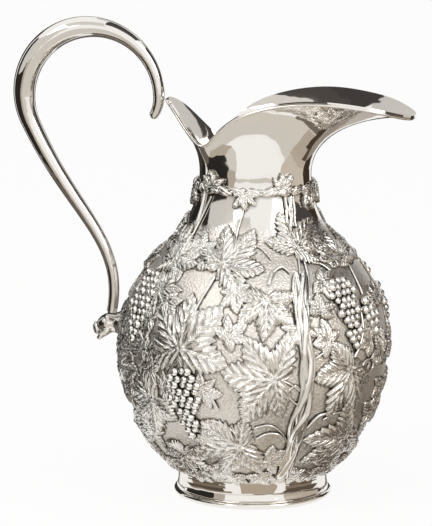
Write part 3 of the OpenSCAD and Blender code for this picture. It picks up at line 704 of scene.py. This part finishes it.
# Small leaves that fill the ground between them, laid lower
SPRAY = [[-106.3, .757, .4, -85], [-120.5, .775, .42, -50], [-127, .72, .4, -95], [-132, .65, .5, 25],
         [-132, .56, .42, -70], [-133, .47, .44, -110], [-128, .4, .46, -70], [-90.5, .668, .38, 165],
         [-92, .535, .4, 50], [-61.5, .56, .42, 165], [-43, .69, .42, 120], [-24, .75, .44, -40],
         [-19, .55, .46, 150], [-22, .49, .42, -60], [-9, .33, .36, 190], [-15, .235, .46, 70],
         [-47, .515, .4, -50], [-44, .13, .42, 110], [-72, .12, .42, 110], [-104, .2, .42, 120],
         [-139, .2, .5, -150], [-150, .56, .46, -130], [-148, .285, .46, 60], [-36, .81, .42, 100],
         [-6.5, .6, .32, 10], [-7, .215, .32, 20], [-167, .5, .5, 10], [-169, .3, .5, -160],
         [-143, .78, .4, -60], [-103, .36, .38, 100], [-118, .05, .34, 200], [-104, .075, .36, 150],
         [-92, .05, .3, 185], [-76, .055, .34, 160], [-52, .06, .36, 200], [-40, .05, .34, 160],
         [-25, .07, .36, 190], [-12, .05, .32, 170], [-135, .07, .36, 170], [-150, .06, .34, 200],
         [-165, .08, .36, 160], [-168, .7, .42, 5], [-170, .84, .3, -160], [-140, .63, .42, -20],
         [-146, .46, .44, 60], [-158, .6, .44, -30], [-160, .78, .4, 20], [-125, .62, .36, 140],
         [-122, .35, .36, 60]]
# Small leaves of the garland: angle, and 1 above the ring or -1 below it
GARLAND = [[-163, -1], [-127, 1], [-91, -1], [-54, 1], [-18, -1]]
GARLAND_LEAF_LEN, GARLAND_LEAF_OFF = 11.55, 0.35 * GARLAND_D
# The garland runs just above the seam: its gap there, and the length up the bowl's side to its middle
GARLAND_GAP = 0.4
GARLAND_S = side_at(SEAM_Z + GARLAND_D / 2 + GARLAND_GAP)

# How far the side veins lean forward, and where along a tooth the edge crosses the plain lobe
VEIN_SLANT, TOOTH_MID = 1.4, 0.6
# Web between the lobes: reach, and its shares by the angle from the tip, with a notch at the stalk
WEB, WEB_ANGLES, WEB_SHARES = 0.4, [0, 125, 162, 180], [1, 1, 0.8, 0.4]
# How much the lobes of one leaf differ by hand: angle in degrees, shares of length and width
RIB_STRAY, LENGTH_STRAY, WIDTH_STRAY = 6, 0.1, 0.12
# Relief of a leaf of RELIEF_LEN in millimetres: edge, swollen lobe, rib, side vein, furrow beside the
# rib, and the curl of tips, sides and edge
RELIEF_LEN = 30
EDGE_H, LOBE_H, RIB_H, VEIN_H, FURROW_H = 0.6, 1.9, 0.95, 0.95, 0.4
TIP_CURL, SIDE_CURL, EDGE_WAVE = 1.1, 0.8, 0.3
LOWEST_H, HIGHEST_H, BACK_H = 0.35, 4.2, -0.1
# Half widths of rib and furrow, and how far off the rib the furrow lies and the side veins begin
RIB_W, FURROW_W, FURROW_OFF, VEIN_OFF = 0.5, 0.6, 1.4, 0.9
# What is left of the swell and of the side veins where a lobe is flat, and what comes with its dome
FLAT, DOMED = 0.35, 0.65
# Painted highlight and shade of a leaf: its brightness, and what each form adds to it or takes from it
LEAF_TONE, BACK_TONE, RIB_TONE, VEIN_TONE, LOBE_TONE, CURL_TONE = 0.39, 0.1, 0.7, 0.46, 0.45, 0.14
FURROW_TONE, EDGE_TONE = 0.28, 0.25
LEAF_BEND = 10  # degrees by which a leaf's lobes swing aside
# Mix of a round and a pillowed swell across a lobe, and how early it swells along the rib
DOME_ROUND, DOME_PILLOW, SWELL_EARLY = 0.6, 0.4, 0.7
# Least half width of a rib, how far rib and furrow fade to the tip, and how sharp the side veins are
RIB_LEAST_W, RIB_FADE, FURROW_FADE, VEIN_SHARP = 0.25, 0.55, 0.8, 1.4
# Way out at which the edge drops, to what share, the way out from which it is painted dark as shade, and the
# waves round it
DROP_FROM, DROP_TO, DARK_FROM, EDGE_WAVES = 0.985, 0.65, 0.96, 9


def make_blank(name, kind):
    """A round blank with a closed back, inset ring by ring, from which leaves are shaped."""
    blank = started(name, bpy.ops.mesh.primitive_circle_add,
                    vertices=kind["points"], radius=1, fill_type="NGON")
    bpy.ops.object.mode_set(mode="EDIT")
    bpy.ops.mesh.select_mode(type="FACE")
    bpy.ops.mesh.select_all(action="SELECT")
    bpy.ops.mesh.extrude_region_move(TRANSFORM_OT_translate={"value": (0, 0, 1)})
    for _ in range(kind["rings"]):
        bpy.ops.mesh.inset(thickness=1 / (kind["rings"] + 1), use_even_offset=False)
    bpy.ops.mesh.poke()
    edit_ended()
    return blank


def blade(x):
    """Half width of a pointed lobe along its rib; the factor brings the widest place to 1."""
    x = np.clip(x, 0, 1)
    return 2.378 * np.sqrt(x) * (1 - x) ** 0.8


def varied(lobes, seed):
    """Lobes of one leaf, each cut a little differently by hand."""
    return [[rib + RIB_STRAY * math.sin(3.1 * seed + 2.3 * i),
             length * (1 + LENGTH_STRAY * math.sin(5.7 * seed + 1.9 * i)),
             half * (1 + WIDTH_STRAY * math.sin(4.3 * seed + 3.7 * i))]
            for i, (rib, length, half) in enumerate(lobes)]


def leaf_edge(lobes, kind):
    """Angle from the tip and reach of an edge with teeth where side veins end, in even steps along it."""
    phi = np.linspace(-180, 180, 2881)
    reach = WEB * np.interp(np.abs(phi), WEB_ANGLES, WEB_SHARES)
    x = np.linspace(0.001, 1, 600)
    for rib, length, half in lobes:
        y = half * blade(x)
        way = (x - VEIN_SLANT * y / length) * kind["veins"]
        y = y * (1 + kind["tooth"] * (way % 1 - TOOTH_MID))
        off = np.maximum.accumulate(np.degrees(np.arctan2(y, x * length))[::-1])
        lobe = np.interp(np.abs(phi - rib), off, np.hypot(x * length, y)[::-1], right=0)
        reach = np.maximum(reach, lobe)
    d = np.radians(phi)
    run = run_along(np.stack([reach * np.sin(d), reach * np.cos(d)], -1))
    want = np.linspace(0, run[-1], kind["points"], endpoint=False)
    return np.interp(want, run, phi), np.interp(want, run, reach)


def shape_leaf(leaf, kind, a, s, size, turn, cut_seed, curl_seed):
    """Shapes a blank into a veined, toothed leaf that lies on the bowl."""
    lobes = varied(kind["lobes"], cut_seed)
    edge_phi, edge_reach = leaf_edge(lobes, kind)
    co = points_of(leaf)
    top = co[:, 2] > 0.5
    t = np.minimum(np.hypot(co[:, 0], co[:, 1]), 1)
    k = spoke(co, kind["points"])
    phi, rho = edge_phi[k], t * edge_reach[k] * size
    # p along the nearest rib, w off it, and v off it as a share of the lobe's half width there
    rib, length, half = (np.array(v) for v in zip(*lobes))
    near = np.abs(phi[:, None] - rib[None])
    i = np.argmin(near, axis=1)
    off = np.radians(np.minimum(near[np.arange(len(phi)), i], 85))
    p, w = rho * np.cos(off), rho * np.sin(off)
    far = size * length[i]
    half_w = size * half[i] * blade(np.maximum(p / far, 0.12))
    v = np.clip(w / np.maximum(half_w, 0.02 * size), 0, 1)
    dome = DOME_ROUND * (1 - v**2) + DOME_PILLOW * np.sin(math.pi * v)
    swell = np.sin(math.pi * np.clip(p / far, 0, 1) ** SWELL_EARLY)
    # ribs thin out to the tips, with a furrow at each side; side veins slant forward from them
    m = size / RELIEF_LEN
    ridge = np.exp(-((w / (RIB_W * m + RIB_LEAST_W)) ** 2)) * np.clip(1 - RIB_FADE * p / far, 0, 1)
    furrow = np.exp(-(((w - FURROW_OFF * m) / (FURROW_W * m)) ** 2))
    furrow = furrow * np.clip(1 - FURROW_FADE * p / far, 0, 1) * np.clip(p / (2 * m), 0, 1)
    way = p - VEIN_SLANT * w
    vein = (0.5 + 0.5 * np.cos(TURN * kind["veins"] * way / far)) ** VEIN_SHARP
    vein = vein * np.clip(w / (VEIN_OFF * m), 0, 1)
    # each lobe curls its own way, and the edge waves
    side_w = w * np.sign(phi - rib[i])
    curl = (TIP_CURL * np.sin(2.1 * curl_seed + 1.7 * i) * (p / far) ** 2
            + SIDE_CURL * np.sin(3.3 * curl_seed + 2.9 * i) * side_w / (4 * m + 1))
    wave = EDGE_WAVE * np.sin(np.radians(EDGE_WAVES * phi) + curl_seed) * t**2
    h = EDGE_H + LOBE_H * dome * (FLAT + DOMED * swell) + (curl * swell + wave) * min(m, 1)
    h = h + min(m, 1) ** 0.5 * (RIB_H * ridge - FURROW_H * furrow + VEIN_H * vein * (FLAT + DOMED * dome))
    h = kind["rise"] * h
    h = kind["lift"] + np.where(t > DROP_FROM, DROP_TO * h, h)
    h = np.where(top, np.clip(h, LOWEST_H, HIGHEST_H), BACK_H)
    bend = LEAF_BEND * np.sin(np.radians(2 * phi) + 2.6 * curl_seed) * (rho / size) ** 2
    d = np.radians(phi + turn + bend)
    place(leaf, laid(a, s, rho * np.sin(d), rho * np.cos(d), LAID + h))
    # painted highlights on ribs, veins, domes and curls; painted shade in the furrows, at the edge and under
    # the leaf, with tarnish in the furrows
    tone = LEAF_TONE + RIB_TONE * ridge + VEIN_TONE * vein + LOBE_TONE * (dome - 0.5) * swell
    tone = tone + CURL_TONE * curl - FURROW_TONE * furrow - EDGE_TONE * (t > DARK_FROM)
    toned(leaf, np.where(top, tone, BACK_TONE))
    marked(leaf, "hatch", way)
    smooth(leaf, angle=80)


def make_leaves():
    """The large leaves, each one a piece of its own."""
    blank = make_blank("leaf_blank", VINE_LEAF)
    for i, (a, share, size, turn) in enumerate(LEAVES, 1):
        leaf = copied(blank, f"vine_leaf_near_{i}")
        seed = 1.7 * i
        shape_leaf(leaf, VINE_LEAF, a, share_at(share), size * LEAF_LEN, turn, seed, seed)
        dress_both(leaf, CHASED, f"leaf_near_{i}")
    bpy.data.objects.remove(blank)


def make_spray():
    """The small leaves of each side, as one piece."""
    blank = make_blank("spray_blank", SMALL_LEAF)
    sprays = []
    for i, (a, share, size, turn) in enumerate(SPRAY):
        leaf = copied(blank, f"spray_leaf_{i}")
        seed = 2.3 * i + 0.6
        shape_leaf(leaf, SMALL_LEAF, a, share_at(share), size * LEAF_LEN, turn, seed, seed)
        sprays.append(leaf)
    bpy.data.objects.remove(blank)
    dress_both(joined(sprays, "small_leaves_near"), CHASED)


def make_garland_leaves():
    """Small leaves above and below the garland, on both sides, as one piece."""
    blank = make_blank("garland_blank", GARLAND_LEAF)
    leaves = []
    for i, (a, up) in enumerate(GARLAND):
        leaf = copied(blank, f"garland_leaf_{i}")
        turn = 0 if up > 0 else 180
        shape_leaf(leaf, GARLAND_LEAF, a, GARLAND_S + up * GARLAND_LEAF_OFF, GARLAND_LEAF_LEN, turn,
                   1.3 * i + 0.4, 2.1 * i)
        leaves += [leaf, mirrored(leaf, f"garland_leaf_far_{i}")]
    bpy.data.objects.remove(blank)
    dress(joined(leaves, "garland_leaf_wreath"), CHASED, "chased_silver", "garland_leaves")


# Garland ring: two stems wound round each other, and petals laid on them
STEM_POINTS, STEM_TURNS, STEM_TONE = 720, 7, 0.7
# Shares of GARLAND_D: a stem's radius, its swing up and down, its middle off the bowl and its swing there
STEM_R, STEM_SWING, STEM_OFF, STEM_DEEP = 0.24, 0.25, 0.42, 0.2
STEM_SWELL = 0.3  # how far a stem swells and thins, as a share of its radius
PETALS, PETAL_LEAN, PETAL_TAPER = 24, 24, 0.35
PETAL_HALF_LEN, PETAL_HALF_W, PETAL_HALF_H, PETAL_OFF = 4.8, 2.9, 1.7, 2.1
# Crease of a petal: height and half width; and its painted brightness, darker in the crease as painted shade
CREASE_H, CREASE_W, PETAL_TONE = 0.5, 0.22, 0.75


def make_garland_ring():
    """The wound stems and their creased petals."""
    a = np.linspace(0, 360, STEM_POINTS, endpoint=False)
    runs = []
    for start in (0, 180):
        tw = np.radians(a * STEM_TURNS + start)
        r = STEM_R * GARLAND_D * (1 + STEM_SWELL * np.cos(2 * tw))
        off = LAID + STEM_OFF * GARLAND_D + STEM_DEEP * GARLAND_D * np.sin(tw)
        runs.append(np.column_stack([laid(a, GARLAND_S, 0 * a, STEM_SWING * GARLAND_D * np.cos(tw), off), r]))
    ring = tubes("garland_twist", runs, fineness=2, loop=True, caps=False)
    toned(ring, STEM_TONE)
    petal = started("petal", bpy.ops.mesh.primitive_uv_sphere_add, segments=16, ring_count=10, radius=1)
    x, y, z = points_of(petal).T
    crease = CREASE_H * np.exp(-((y / CREASE_W) ** 2))
    petals = [ring]
    for i in range(PETALS):
        u, v = turned(PETAL_HALF_LEN * x, PETAL_HALF_W * y * (1 - PETAL_TAPER * x**2),
                      PETAL_LEAN if i % 2 else -PETAL_LEAN)
        g = copied(petal, f"petal_{i}")
        off = PETAL_OFF + (PETAL_HALF_H - crease) * z
        place(g, laid(360 * (i + 0.5) / PETALS, GARLAND_S, u, v, off))
        # darker in the crease: painted shade
        toned(g, PETAL_TONE - 0.5 * crease)
        petals.append(g)
    bpy.data.objects.remove(petal)
    ring = joined(petals, "garland_twist")
    smooth(ring, angle=70)
    dress(ring, CHASED, "chased_silver", "garland_ring")


# Grapes, trunk and stalks

# Bunches of the near side: angle and share of the height at the top, turn from straight down, and
# grape as a share of GRAPE_D; then the grapes in each of their rows
BUNCHES = [[-112, .435, 4, .86], [-33.5, .7, 2, .84], [-18, .63, 4, .95], [-145, .7, 5, .84]]
BUNCH_ROWS = [[3, 4, 5, 4, 5, 4, 3, 2, 3, 2, 1], [3, 4, 5, 4, 3, 4, 3, 2, 3, 2, 1], [2, 3, 3, 2, 1],
              [3, 4, 4, 5, 4, 5, 4, 4, 3, 2, 1]]
# From grape to grape and from row to row, as shares of the grape, and how far a grape strays
GRAPE_PITCH, ROW_PITCH, GRAPE_STRAY = 0.98, 0.84, 0.4
# How far a grape stands off the bowl: share of its radius, and its middle and swing in millimetres
GRAPE_SHARE, GRAPE_OFF, GRAPE_SWING = 0.3, 0.8, 0.55
# Size of a grape and how it varies; its painted brightness at the bowl, darker there as painted shade, and
# the rise in which it becomes full
GRAPE_FULL, GRAPE_VARIES, GRAPE_TONE, GRAPE_SHADE = 1.02, 0.1, 0.42, 0.7 * GRAPE_D


def make_bunches():
    """Bunches of grapes in rows, each grape a little out of line."""
    grape = started("grape", bpy.ops.mesh.primitive_uv_sphere_add, segments=12, ring_count=6, radius=1)
    unit = points_of(grape)
    for i, ((a, share, turn, size), counts) in enumerate(zip(BUNCHES, BUNCH_ROWS), 1):
        d = size * GRAPE_D
        grapes = []
        for j, count in enumerate(counts):
            for k in range(count):
                wobble = math.sin(12.9 * i + 7.7 * j + 4.1 * k)
                x = (k - (count - 1) / 2) * GRAPE_PITCH * d + GRAPE_STRAY * math.sin(5 * wobble)
                y = -(j + 1) * ROW_PITCH * d + GRAPE_STRAY * math.cos(7 * wobble)
                u, v = turned(x, y, turn)
                r = d / 2 * (GRAPE_FULL + GRAPE_VARIES * wobble)
                off = GRAPE_SHARE * r + GRAPE_OFF + GRAPE_SWING * math.sin(9 * wobble)
                g = copied(grape, f"grape_{i}_{j}_{k}")
                place(g, unit * r + laid(a, share_at(share) + v, u, 0, off))
                grapes.append(g)
        bunch = joined(grapes, f"grape_bunch_near_{i}")
        smooth(bunch, angle=180)
        # darker towards the bowl: painted shade
        toned(bunch, GRAPE_TONE + off_bowl(bunch) / GRAPE_SHADE)
        dress_both(bunch, CHASED, f"bunch_near_{i}")
    bpy.data.objects.remove(grape)


# Lines of the vine on the near side: rows of angle and share of the height
TRUNK = [[-62, .06], [-61, .14], [-60.5, .24], [-58, .34], [-58, .44], [-59, .54], [-58.5, .63],
         [-55.5, .715]]
TRUNK_TOP = [[-48.5, .85], [-47.5, .885], [-46.5, .91], [-46, .945]]
STALKS = [[[-73.5, .69], [-70, .725], [-64.5, .738], [-60.6, .722]],
          [[-34, .45], [-30, .485], [-26.5, .53], [-25, .58]],
          [[-55.5, .235], [-51, .27], [-46, .275], [-43, .255]],
          [[-65.5, .19], [-69, .216], [-74, .22], [-79, .203]],
          [[-102.6, .705], [-104.6, .67], [-106.2, .645]],
          [[-96, .3], [-98.5, .34], [-101, .385]]]
# Finer stalks and curled tendrils
TENDRILS = [[[-80.1, .239], [-73.6, .249], [-68, .225], [-63.1, .177]],
            [[-47.9, .256], [-42, .272], [-36.7, .265], [-31, .23], [-28, .2]],
            [[-30, .40], [-27, .425], [-23, .432], [-20, .418], [-20.5, .398], [-23, .392],
             [-24.5, .405], [-23, .415]],
            [[-106.2, .645], [-108, .61], [-109, .575], [-108, .55]],
            [[-51, .77], [-54, .73], [-56, .69], [-57, .64]],
            [[-49, .76], [-50.5, .71], [-53, .66], [-56, .6]],
            [[-33.5, .71], [-38, .735], [-44, .745], [-48, .755]],
            [[-36.5, .43], [-42, .47], [-49, .48], [-55, .46]],
            [[-69, .4], [-65, .385], [-60.5, .36]],
            [[-58, .3], [-64, .33], [-66, .36], [-63, .38], [-60, .36]],
            [[-112, .43], [-113, .45], [-113.3, .48]],
            [[-145, .7], [-141, .72], [-136, .735]],
            [[-18, .63], [-17, .67], [-15, .72]],
            [[-99, .74], [-92, .78], [-84, .8], [-76, .79], [-70, .76]],
            [[-86, .2], [-92, .24], [-99, .26], [-104, .24]],
            [[-91, .93], [-92, .89], [-94.5, .85], [-95, .81]],
            [[-128, .94], [-132, .9], [-135, .85], [-135, .8]]]
TRUNK_POINTS, TRUNK_TOP_POINTS, STALK_POINTS = 150, 30, 40
TENDRIL_SHARE, STALK_TAPER = 0.72, 0.3
# The trunk's strands part once, in an eye: its place up the trunk, half height and added width
EYE_AT, EYE_HALF, EYE_WIDE = 0.32, 0.07, 0.9
# Painted brightness at the bowl, darker there as painted shade, and the rise in which it becomes full
TRUNK_TONE, TRUNK_SHADE, STALK_TONE, STALK_SHADE = 0.05, 0.6 * TRUNK_D, 0.2, STALK_D


def vine_line(rows, n):
    """Angle, length up the side and heading of a smooth line on the bowl."""
    p = through(rows, n)
    s = np.array([share_at(v) for v in p[:, 1]])
    du, ds = np.gradient(np.radians(p[:, 0])) * side(s)[0], np.gradient(s)
    return p[:, 0], s, np.arctan2(ds, du)


def strand(line, across, lift, radius):
    """Run of a rod beside a line on the bowl."""
    a, s, head = line
    return np.column_stack([laid(a, s, -np.sin(head) * across, np.cos(head) * across, lift), radius])


def wound(line, turns, start, wide, mid, deep, radius):
    """A strand wound about a line: its swing across, middle and swing off the bowl, as shares of TRUNK_D."""
    tw = TURN * turns * np.linspace(0, 1, len(line[0])) + start
    return strand(line, wide * TRUNK_D * np.cos(tw), mid * TRUNK_D + deep * TRUNK_D * np.sin(tw), radius)


def knobbly(t, share, foot, thinned, lump, beat):
    """Radius of a strand: a share of TRUNK_D, thick at the foot, thinned to the top, with lumps."""
    return share * TRUNK_D * (foot - thinned * t) * (1 + lump * np.sin(beat))


def make_trunk():
    """Strands and strips of bark, wound into one stem."""
    line = vine_line(TRUNK, TRUNK_POINTS)
    t = np.linspace(0, 1, TRUNK_POINTS)
    eye = 1 + EYE_WIDE * np.exp(-(((t - EYE_AT) / EYE_HALF) ** 2))
    runs = []
    # two thick strands
    for k in (0, math.pi):
        r = knobbly(t, share=0.33, foot=1.15, thinned=0.3, lump=0.08, beat=31 * t + k)
        runs.append(wound(line, turns=2.5, start=k, wide=0.29 * eye, mid=0.3, deep=0.12, radius=r))
    # four strips of bark that run straight up under them
    for k in (-0.45, -0.15, 0.15, 0.45):
        r = knobbly(t, share=0.21, foot=1.15, thinned=0.25, lump=0.1, beat=19 * t + 9 * k)
        runs.append(strand(line, k * TRUNK_D * (0.5 + 0.5 * eye) + 0.3 * np.sin(13 * t + 7 * k), r, r))
    # three thin strands that climb round all of it
    for k, wide in ((0.9, 0.62), (3.4, 0.7), (5.2, 0.55)):
        r = knobbly(t, share=0.17, foot=1.2, thinned=0.4, lump=0.1, beat=23 * t + 2 * k)
        runs.append(wound(line, turns=1.6, start=k, wide=wide, mid=0.2, deep=0.14, radius=r))
    # its thinner top, between the leaves and the garland
    line = vine_line(TRUNK_TOP, TRUNK_TOP_POINTS)
    for k in (-0.42, 0.42):
        r = np.full(TRUNK_TOP_POINTS, 0.17 * TRUNK_D)
        runs.append(strand(line, k * TRUNK_D + 0.2 * np.sin(np.linspace(0, 9, TRUNK_TOP_POINTS)), r, r))
    for k in (0, math.pi):
        r = np.full(TRUNK_TOP_POINTS, 0.2 * TRUNK_D)
        runs.append(wound(line, turns=1, start=k, wide=0.15, mid=0.2, deep=0.06, radius=r))
    trunk = tubes("twisted_trunk_near", runs, fineness=3)
    # darker towards the bowl: painted shade
    toned(trunk, TRUNK_TONE + off_bowl(trunk) / TRUNK_SHADE)
    dress_both(trunk, BARK, "trunk_near")


def make_stalks():
    """Stalks and tendrils, thinner towards their far ends."""
    runs = []
    t = np.linspace(0, 1, STALK_POINTS)
    for rows, d in [(q, STALK_D) for q in STALKS] + [(q, TENDRIL_SHARE * STALK_D) for q in TENDRILS]:
        lift = np.full(STALK_POINTS, 0.5 * d + LAID)
        runs.append(strand(vine_line(rows, STALK_POINTS), 0 * t, lift, d / 2 * (1 - STALK_TAPER * t)))
    stalks = tubes("stalks_and_tendrils_near", runs, fineness=2)
    # darker towards the bowl: painted shade
    toned(stalks, STALK_TONE + off_bowl(stalks) / STALK_SHADE)
    dress_both(stalks, BARK, "stalks_near")


make_bowl()
make_foot()
make_neck()
make_rim_wire()
make_handle()
make_root()
make_leaves()
make_spray()
make_garland_leaves()
make_garland_ring()
make_bunches()
make_trunk()
make_stalks()


# The studio

LENS_MM, SENSOR_MM, ROLL = 289.8, 36, 0.44
EYE_MM, AIM_MM = (349.4, -2121.6, 548), (-23.9, -4.25, 147.2)
# Direction from the ewer towards the camera, from which the cards' angles are counted
CAMERA_A = -81
# Cards that only reflections see. They draw the dark and grey bands in the polished silver. Each one
# curves round the ewer between two angles, from a radius and height at its lower or inner edge to those
# at its upper or outer edge, in metres. Some stand, and some lie just over the floor.
CARDS = [["back_left", -180, -142, 0.45, 0, 0.45, 0.5, "#3b3835"],
         ["far_left", -142, -121, 0.45, 0, 0.45, 0.5, "#262322"],
         ["left", -113, -56, 0.45, 0, 0.45, 0.27, "#2c2927"],
         ["left_dark", -113, -92, 0.45, 0.27, 0.45, 0.5, "#2c2927"],
         ["left_pale", -92, -56, 0.45, 0.27, 0.45, 0.5, "#d5d3d0"],
         ["front_left", -56, -40, 0.45, 0, 0.45, 0.25, "#b9afa3"],
         ["front_left_high", -56, -40, 0.45, 0.25, 0.45, 0.5, "#dad6d0"],
         ["right_low", 48, 113, 0.45, 0, 0.45, 0.08, "#bdb2a5"],
         ["right", 48, 113, 0.45, 0.08, 0.45, 0.265, "#cfc5b9"],
         ["far_right", 113, 142, 0.45, 0, 0.45, 0.36, "#3d3026"],
         ["right_high", 62, 139, 0.45, 0.265, 0.45, 0.7, "#4a4645"],
         ["back_pale", 139, 160, 0.45, 0.28, 0.45, 0.6, "#cfcdca"],
         ["back", 158, 180, 0.45, 0, 0.45, 0.22, "#4a4643"],
         ["back_high", 160, 192, 0.46, 0.24, 0.46, 1.35, "#d0cecb"],
         ["table_left", -180, -56, 0.16, 0.002, 0.45, 0.002, "#6a645d"],
         ["table_right", 48, 112, 0.16, 0.002, 0.45, 0.002, "#b8ad9f"],
         ["table_far_right", 112, 145, 0.12, 0.002, 0.45, 0.002, "#9c938a"],
         ["table_back_right", 145, 172, 0.12, 0.002, 0.3, 0.002, "#bfb9b2"],
         ["table_dark", 76, 110, 0.125, 0.003, 0.27, 0.003, "#4a3d32"],
         ["table_dark_out", 94, 114, 0.27, 0.003, 0.45, 0.003, "#5a4c40"],
         ["table_near", 2, 100, 0.104, 0.002, 0.155, 0.002, "#776d62"],
         ["table_mid", -50, 48, 0.155, 0.002, 0.36, 0.002, "#d9d3cb"],
         ["table_front", -56, 48, 0.36, 0.002, 1.8, 0.002, "#d6d2cc"],
         ["foot_left", -80, -34, 0.055, 0.002, 0.06, 0.002, "#4d4238"],
         ["foot_left_mid", -72, -27, 0.06, 0.002, 0.066, 0.002, "#7d7163"],
         ["foot_left_out", -84, -30, 0.066, 0.002, 0.078, 0.002, "#564b40"],
         ["foot_left_rim", -84, -22, 0.078, 0.002, 0.1, 0.002, "#8f8374"],
         ["foot_front", -12, 25, 0.058, 0.002, 0.1, 0.002, "#b5a897"],
         ["foot_right", 38, 80, 0.055, 0.002, 0.06, 0.002, "#54473b"],
         ["foot_right_mid", 34, 72, 0.06, 0.002, 0.066, 0.002, "#86786a"],
         ["foot_right_out", 36, 84, 0.066, 0.002, 0.1, 0.002, "#5f5347"],
         ["foot_back", 110, 250, 0.055, 0.002, 0.125, 0.002, "#80776d"]]
# Flat cards overhead: lowest and highest x and y, height, all in metres, and colour
ROOFS = [["overhead_front", -0.075, 0.07, -0.11, 0.02, 0.45, "#4f4b49"],
         ["overhead_back", -0.075, 0.07, 0.02, 0.125, 0.45, "#454141"],
         ["overhead_near", -0.75, 0.0, -1.8, -0.45, 1.3, "#d9d6d2"]]
# Lamps: place and size in metres, and power in watts
LAMPS = [["key", (-0.9, -1.3, 1.5), 1.2, 14], ["fill", (1.4, -0.8, 1.0), 1.0, 7]]
LAMP_AIM = Vector((0, 0, 0.13))
FLOOR_SIZE, FLOOR_WHITE, SOFT_LIGHT = 12, 0.92, 0.7
WHITE = (1, 1, 1, 1)


def make_camera():
    """The camera at the photograph's viewing angle."""
    cam = bpy.data.cameras.new("camera")
    cam.lens, cam.sensor_width, cam.sensor_fit = LENS_MM, SENSOR_MM, "HORIZONTAL"
    cam.clip_start, cam.clip_end = 0.05, 50
    obj = bpy.data.objects.new("camera", cam)
    bpy.context.scene.collection.objects.link(obj)
    eye, aim = Vector(EYE_MM) * MM, Vector(AIM_MM) * MM
    obj.location = eye
    obj.rotation_mode = "QUATERNION"
    look = (aim - eye).to_track_quat("-Z", "Y")
    obj.rotation_quaternion = look @ Quaternion((0, 0, 1), math.radians(ROLL))
    bpy.context.scene.camera = obj


def card(name, a0, a1, r0, z0, r1, z1, hexa):
    """A card that curves round the ewer."""
    obj = started("card_" + name, bpy.ops.mesh.primitive_grid_add,
                  x_subdivisions=24, y_subdivisions=1, size=1)
    co = points_of(obj) + 0.5
    a = np.radians(CAMERA_A + a0 + co[:, 0] * (a1 - a0))
    r, z = r0 + co[:, 1] * (r1 - r0), z0 + co[:, 1] * (z1 - z0)
    hang(obj, r * np.cos(a), r * np.sin(a), z, hexa)


def roof(name, x0, x1, y0, y1, z, hexa):
    """A flat card overhead."""
    obj = started("card_" + name, bpy.ops.mesh.primitive_plane_add, size=1)
    co = points_of(obj) + 0.5
    hang(obj, x0 + co[:, 0] * (x1 - x0), y0 + co[:, 1] * (y1 - y0), np.full(len(co), z), hexa)


def hang(obj, x, y, z, hexa):
    """Puts a card at its place in metres, evenly bright, unseen by the camera and by soft light."""
    place(obj, np.stack([x, y, z], -1) / MM)
    m = fresh(obj.name)
    bright = add(m, "ShaderNodeEmission", inputs={"Color": silver_hex(hexa), "Strength": 1.0})
    add(m, "ShaderNodeOutputMaterial", inputs={"Surface": bright.outputs[0]})
    obj.data.materials.append(m)
    for ray in ("visible_camera", "visible_shadow", "visible_diffuse"):
        setattr(obj, ray, False)


def seen_plainly(owner):
    """1 for what is seen, straight or in the metal, and 0 for the light that falls on the ewer."""
    rays = add(owner, "ShaderNodeLightPath").outputs
    seen = rays["Is Camera Ray"]
    for ray in ("Is Glossy Ray", "Is Transmission Ray"):
        seen = add(owner, "ShaderNodeMath", {"operation": "MAXIMUM"}, {0: seen, 1: rays[ray]}).outputs[0]
    return seen


def make_floor():
    """White paper, dull and even: nearly white as it is seen, with the ewer's soft shadow on it."""
    floor = started("pale_floor", bpy.ops.mesh.primitive_plane_add, size=FLOOR_SIZE)
    m = fresh("white_paper_floor")
    part = add(m, "ShaderNodeMath", {"operation": "MULTIPLY"}, {0: seen_plainly(m), 1: FLOOR_WHITE})
    paper = add(m, "ShaderNodeBsdfDiffuse", inputs={"Color": silver_hex("#f4f2ef")})
    white = add(m, "ShaderNodeEmission", inputs={"Color": WHITE, "Strength": 1.0})
    both = add(m, "ShaderNodeMixShader", inputs={
        0: part.outputs[0], 1: paper.outputs[0], 2: white.outputs[0]})
    add(m, "ShaderNodeOutputMaterial", inputs={"Surface": both.outputs[0]})
    floor.data.materials.append(m)


def make_light():
    """An even white studio, and two soft lamps."""
    world = bpy.data.worlds.new("studio")
    bpy.context.scene.world = world
    world.use_nodes = True
    world.node_tree.nodes.clear()
    soft = add(world, "ShaderNodeBackground", inputs={"Color": WHITE, "Strength": SOFT_LIGHT})
    white = add(world, "ShaderNodeBackground", inputs={"Color": WHITE, "Strength": 1.0})
    both = add(world, "ShaderNodeMixShader", inputs={
        0: seen_plainly(world), 1: soft.outputs[0], 2: white.outputs[0]})
    add(world, "ShaderNodeOutputWorld", inputs={"Surface": both.outputs[0]})
    for name, at, size, power in LAMPS:
        lamp = bpy.data.lights.new(name, "AREA")
        lamp.energy, lamp.size = power, size
        obj = bpy.data.objects.new(name, lamp)
        bpy.context.scene.collection.objects.link(obj)
        obj.location = at
        obj.rotation_euler = (LAMP_AIM - Vector(at)).to_track_quat("-Z", "Y").to_euler()


make_camera()
make_floor()
make_light()
for row in CARDS:
    card(*row)
for row in ROOFS:
    roof(*row)
bpy.context.scene.view_settings.view_transform = "Standard"
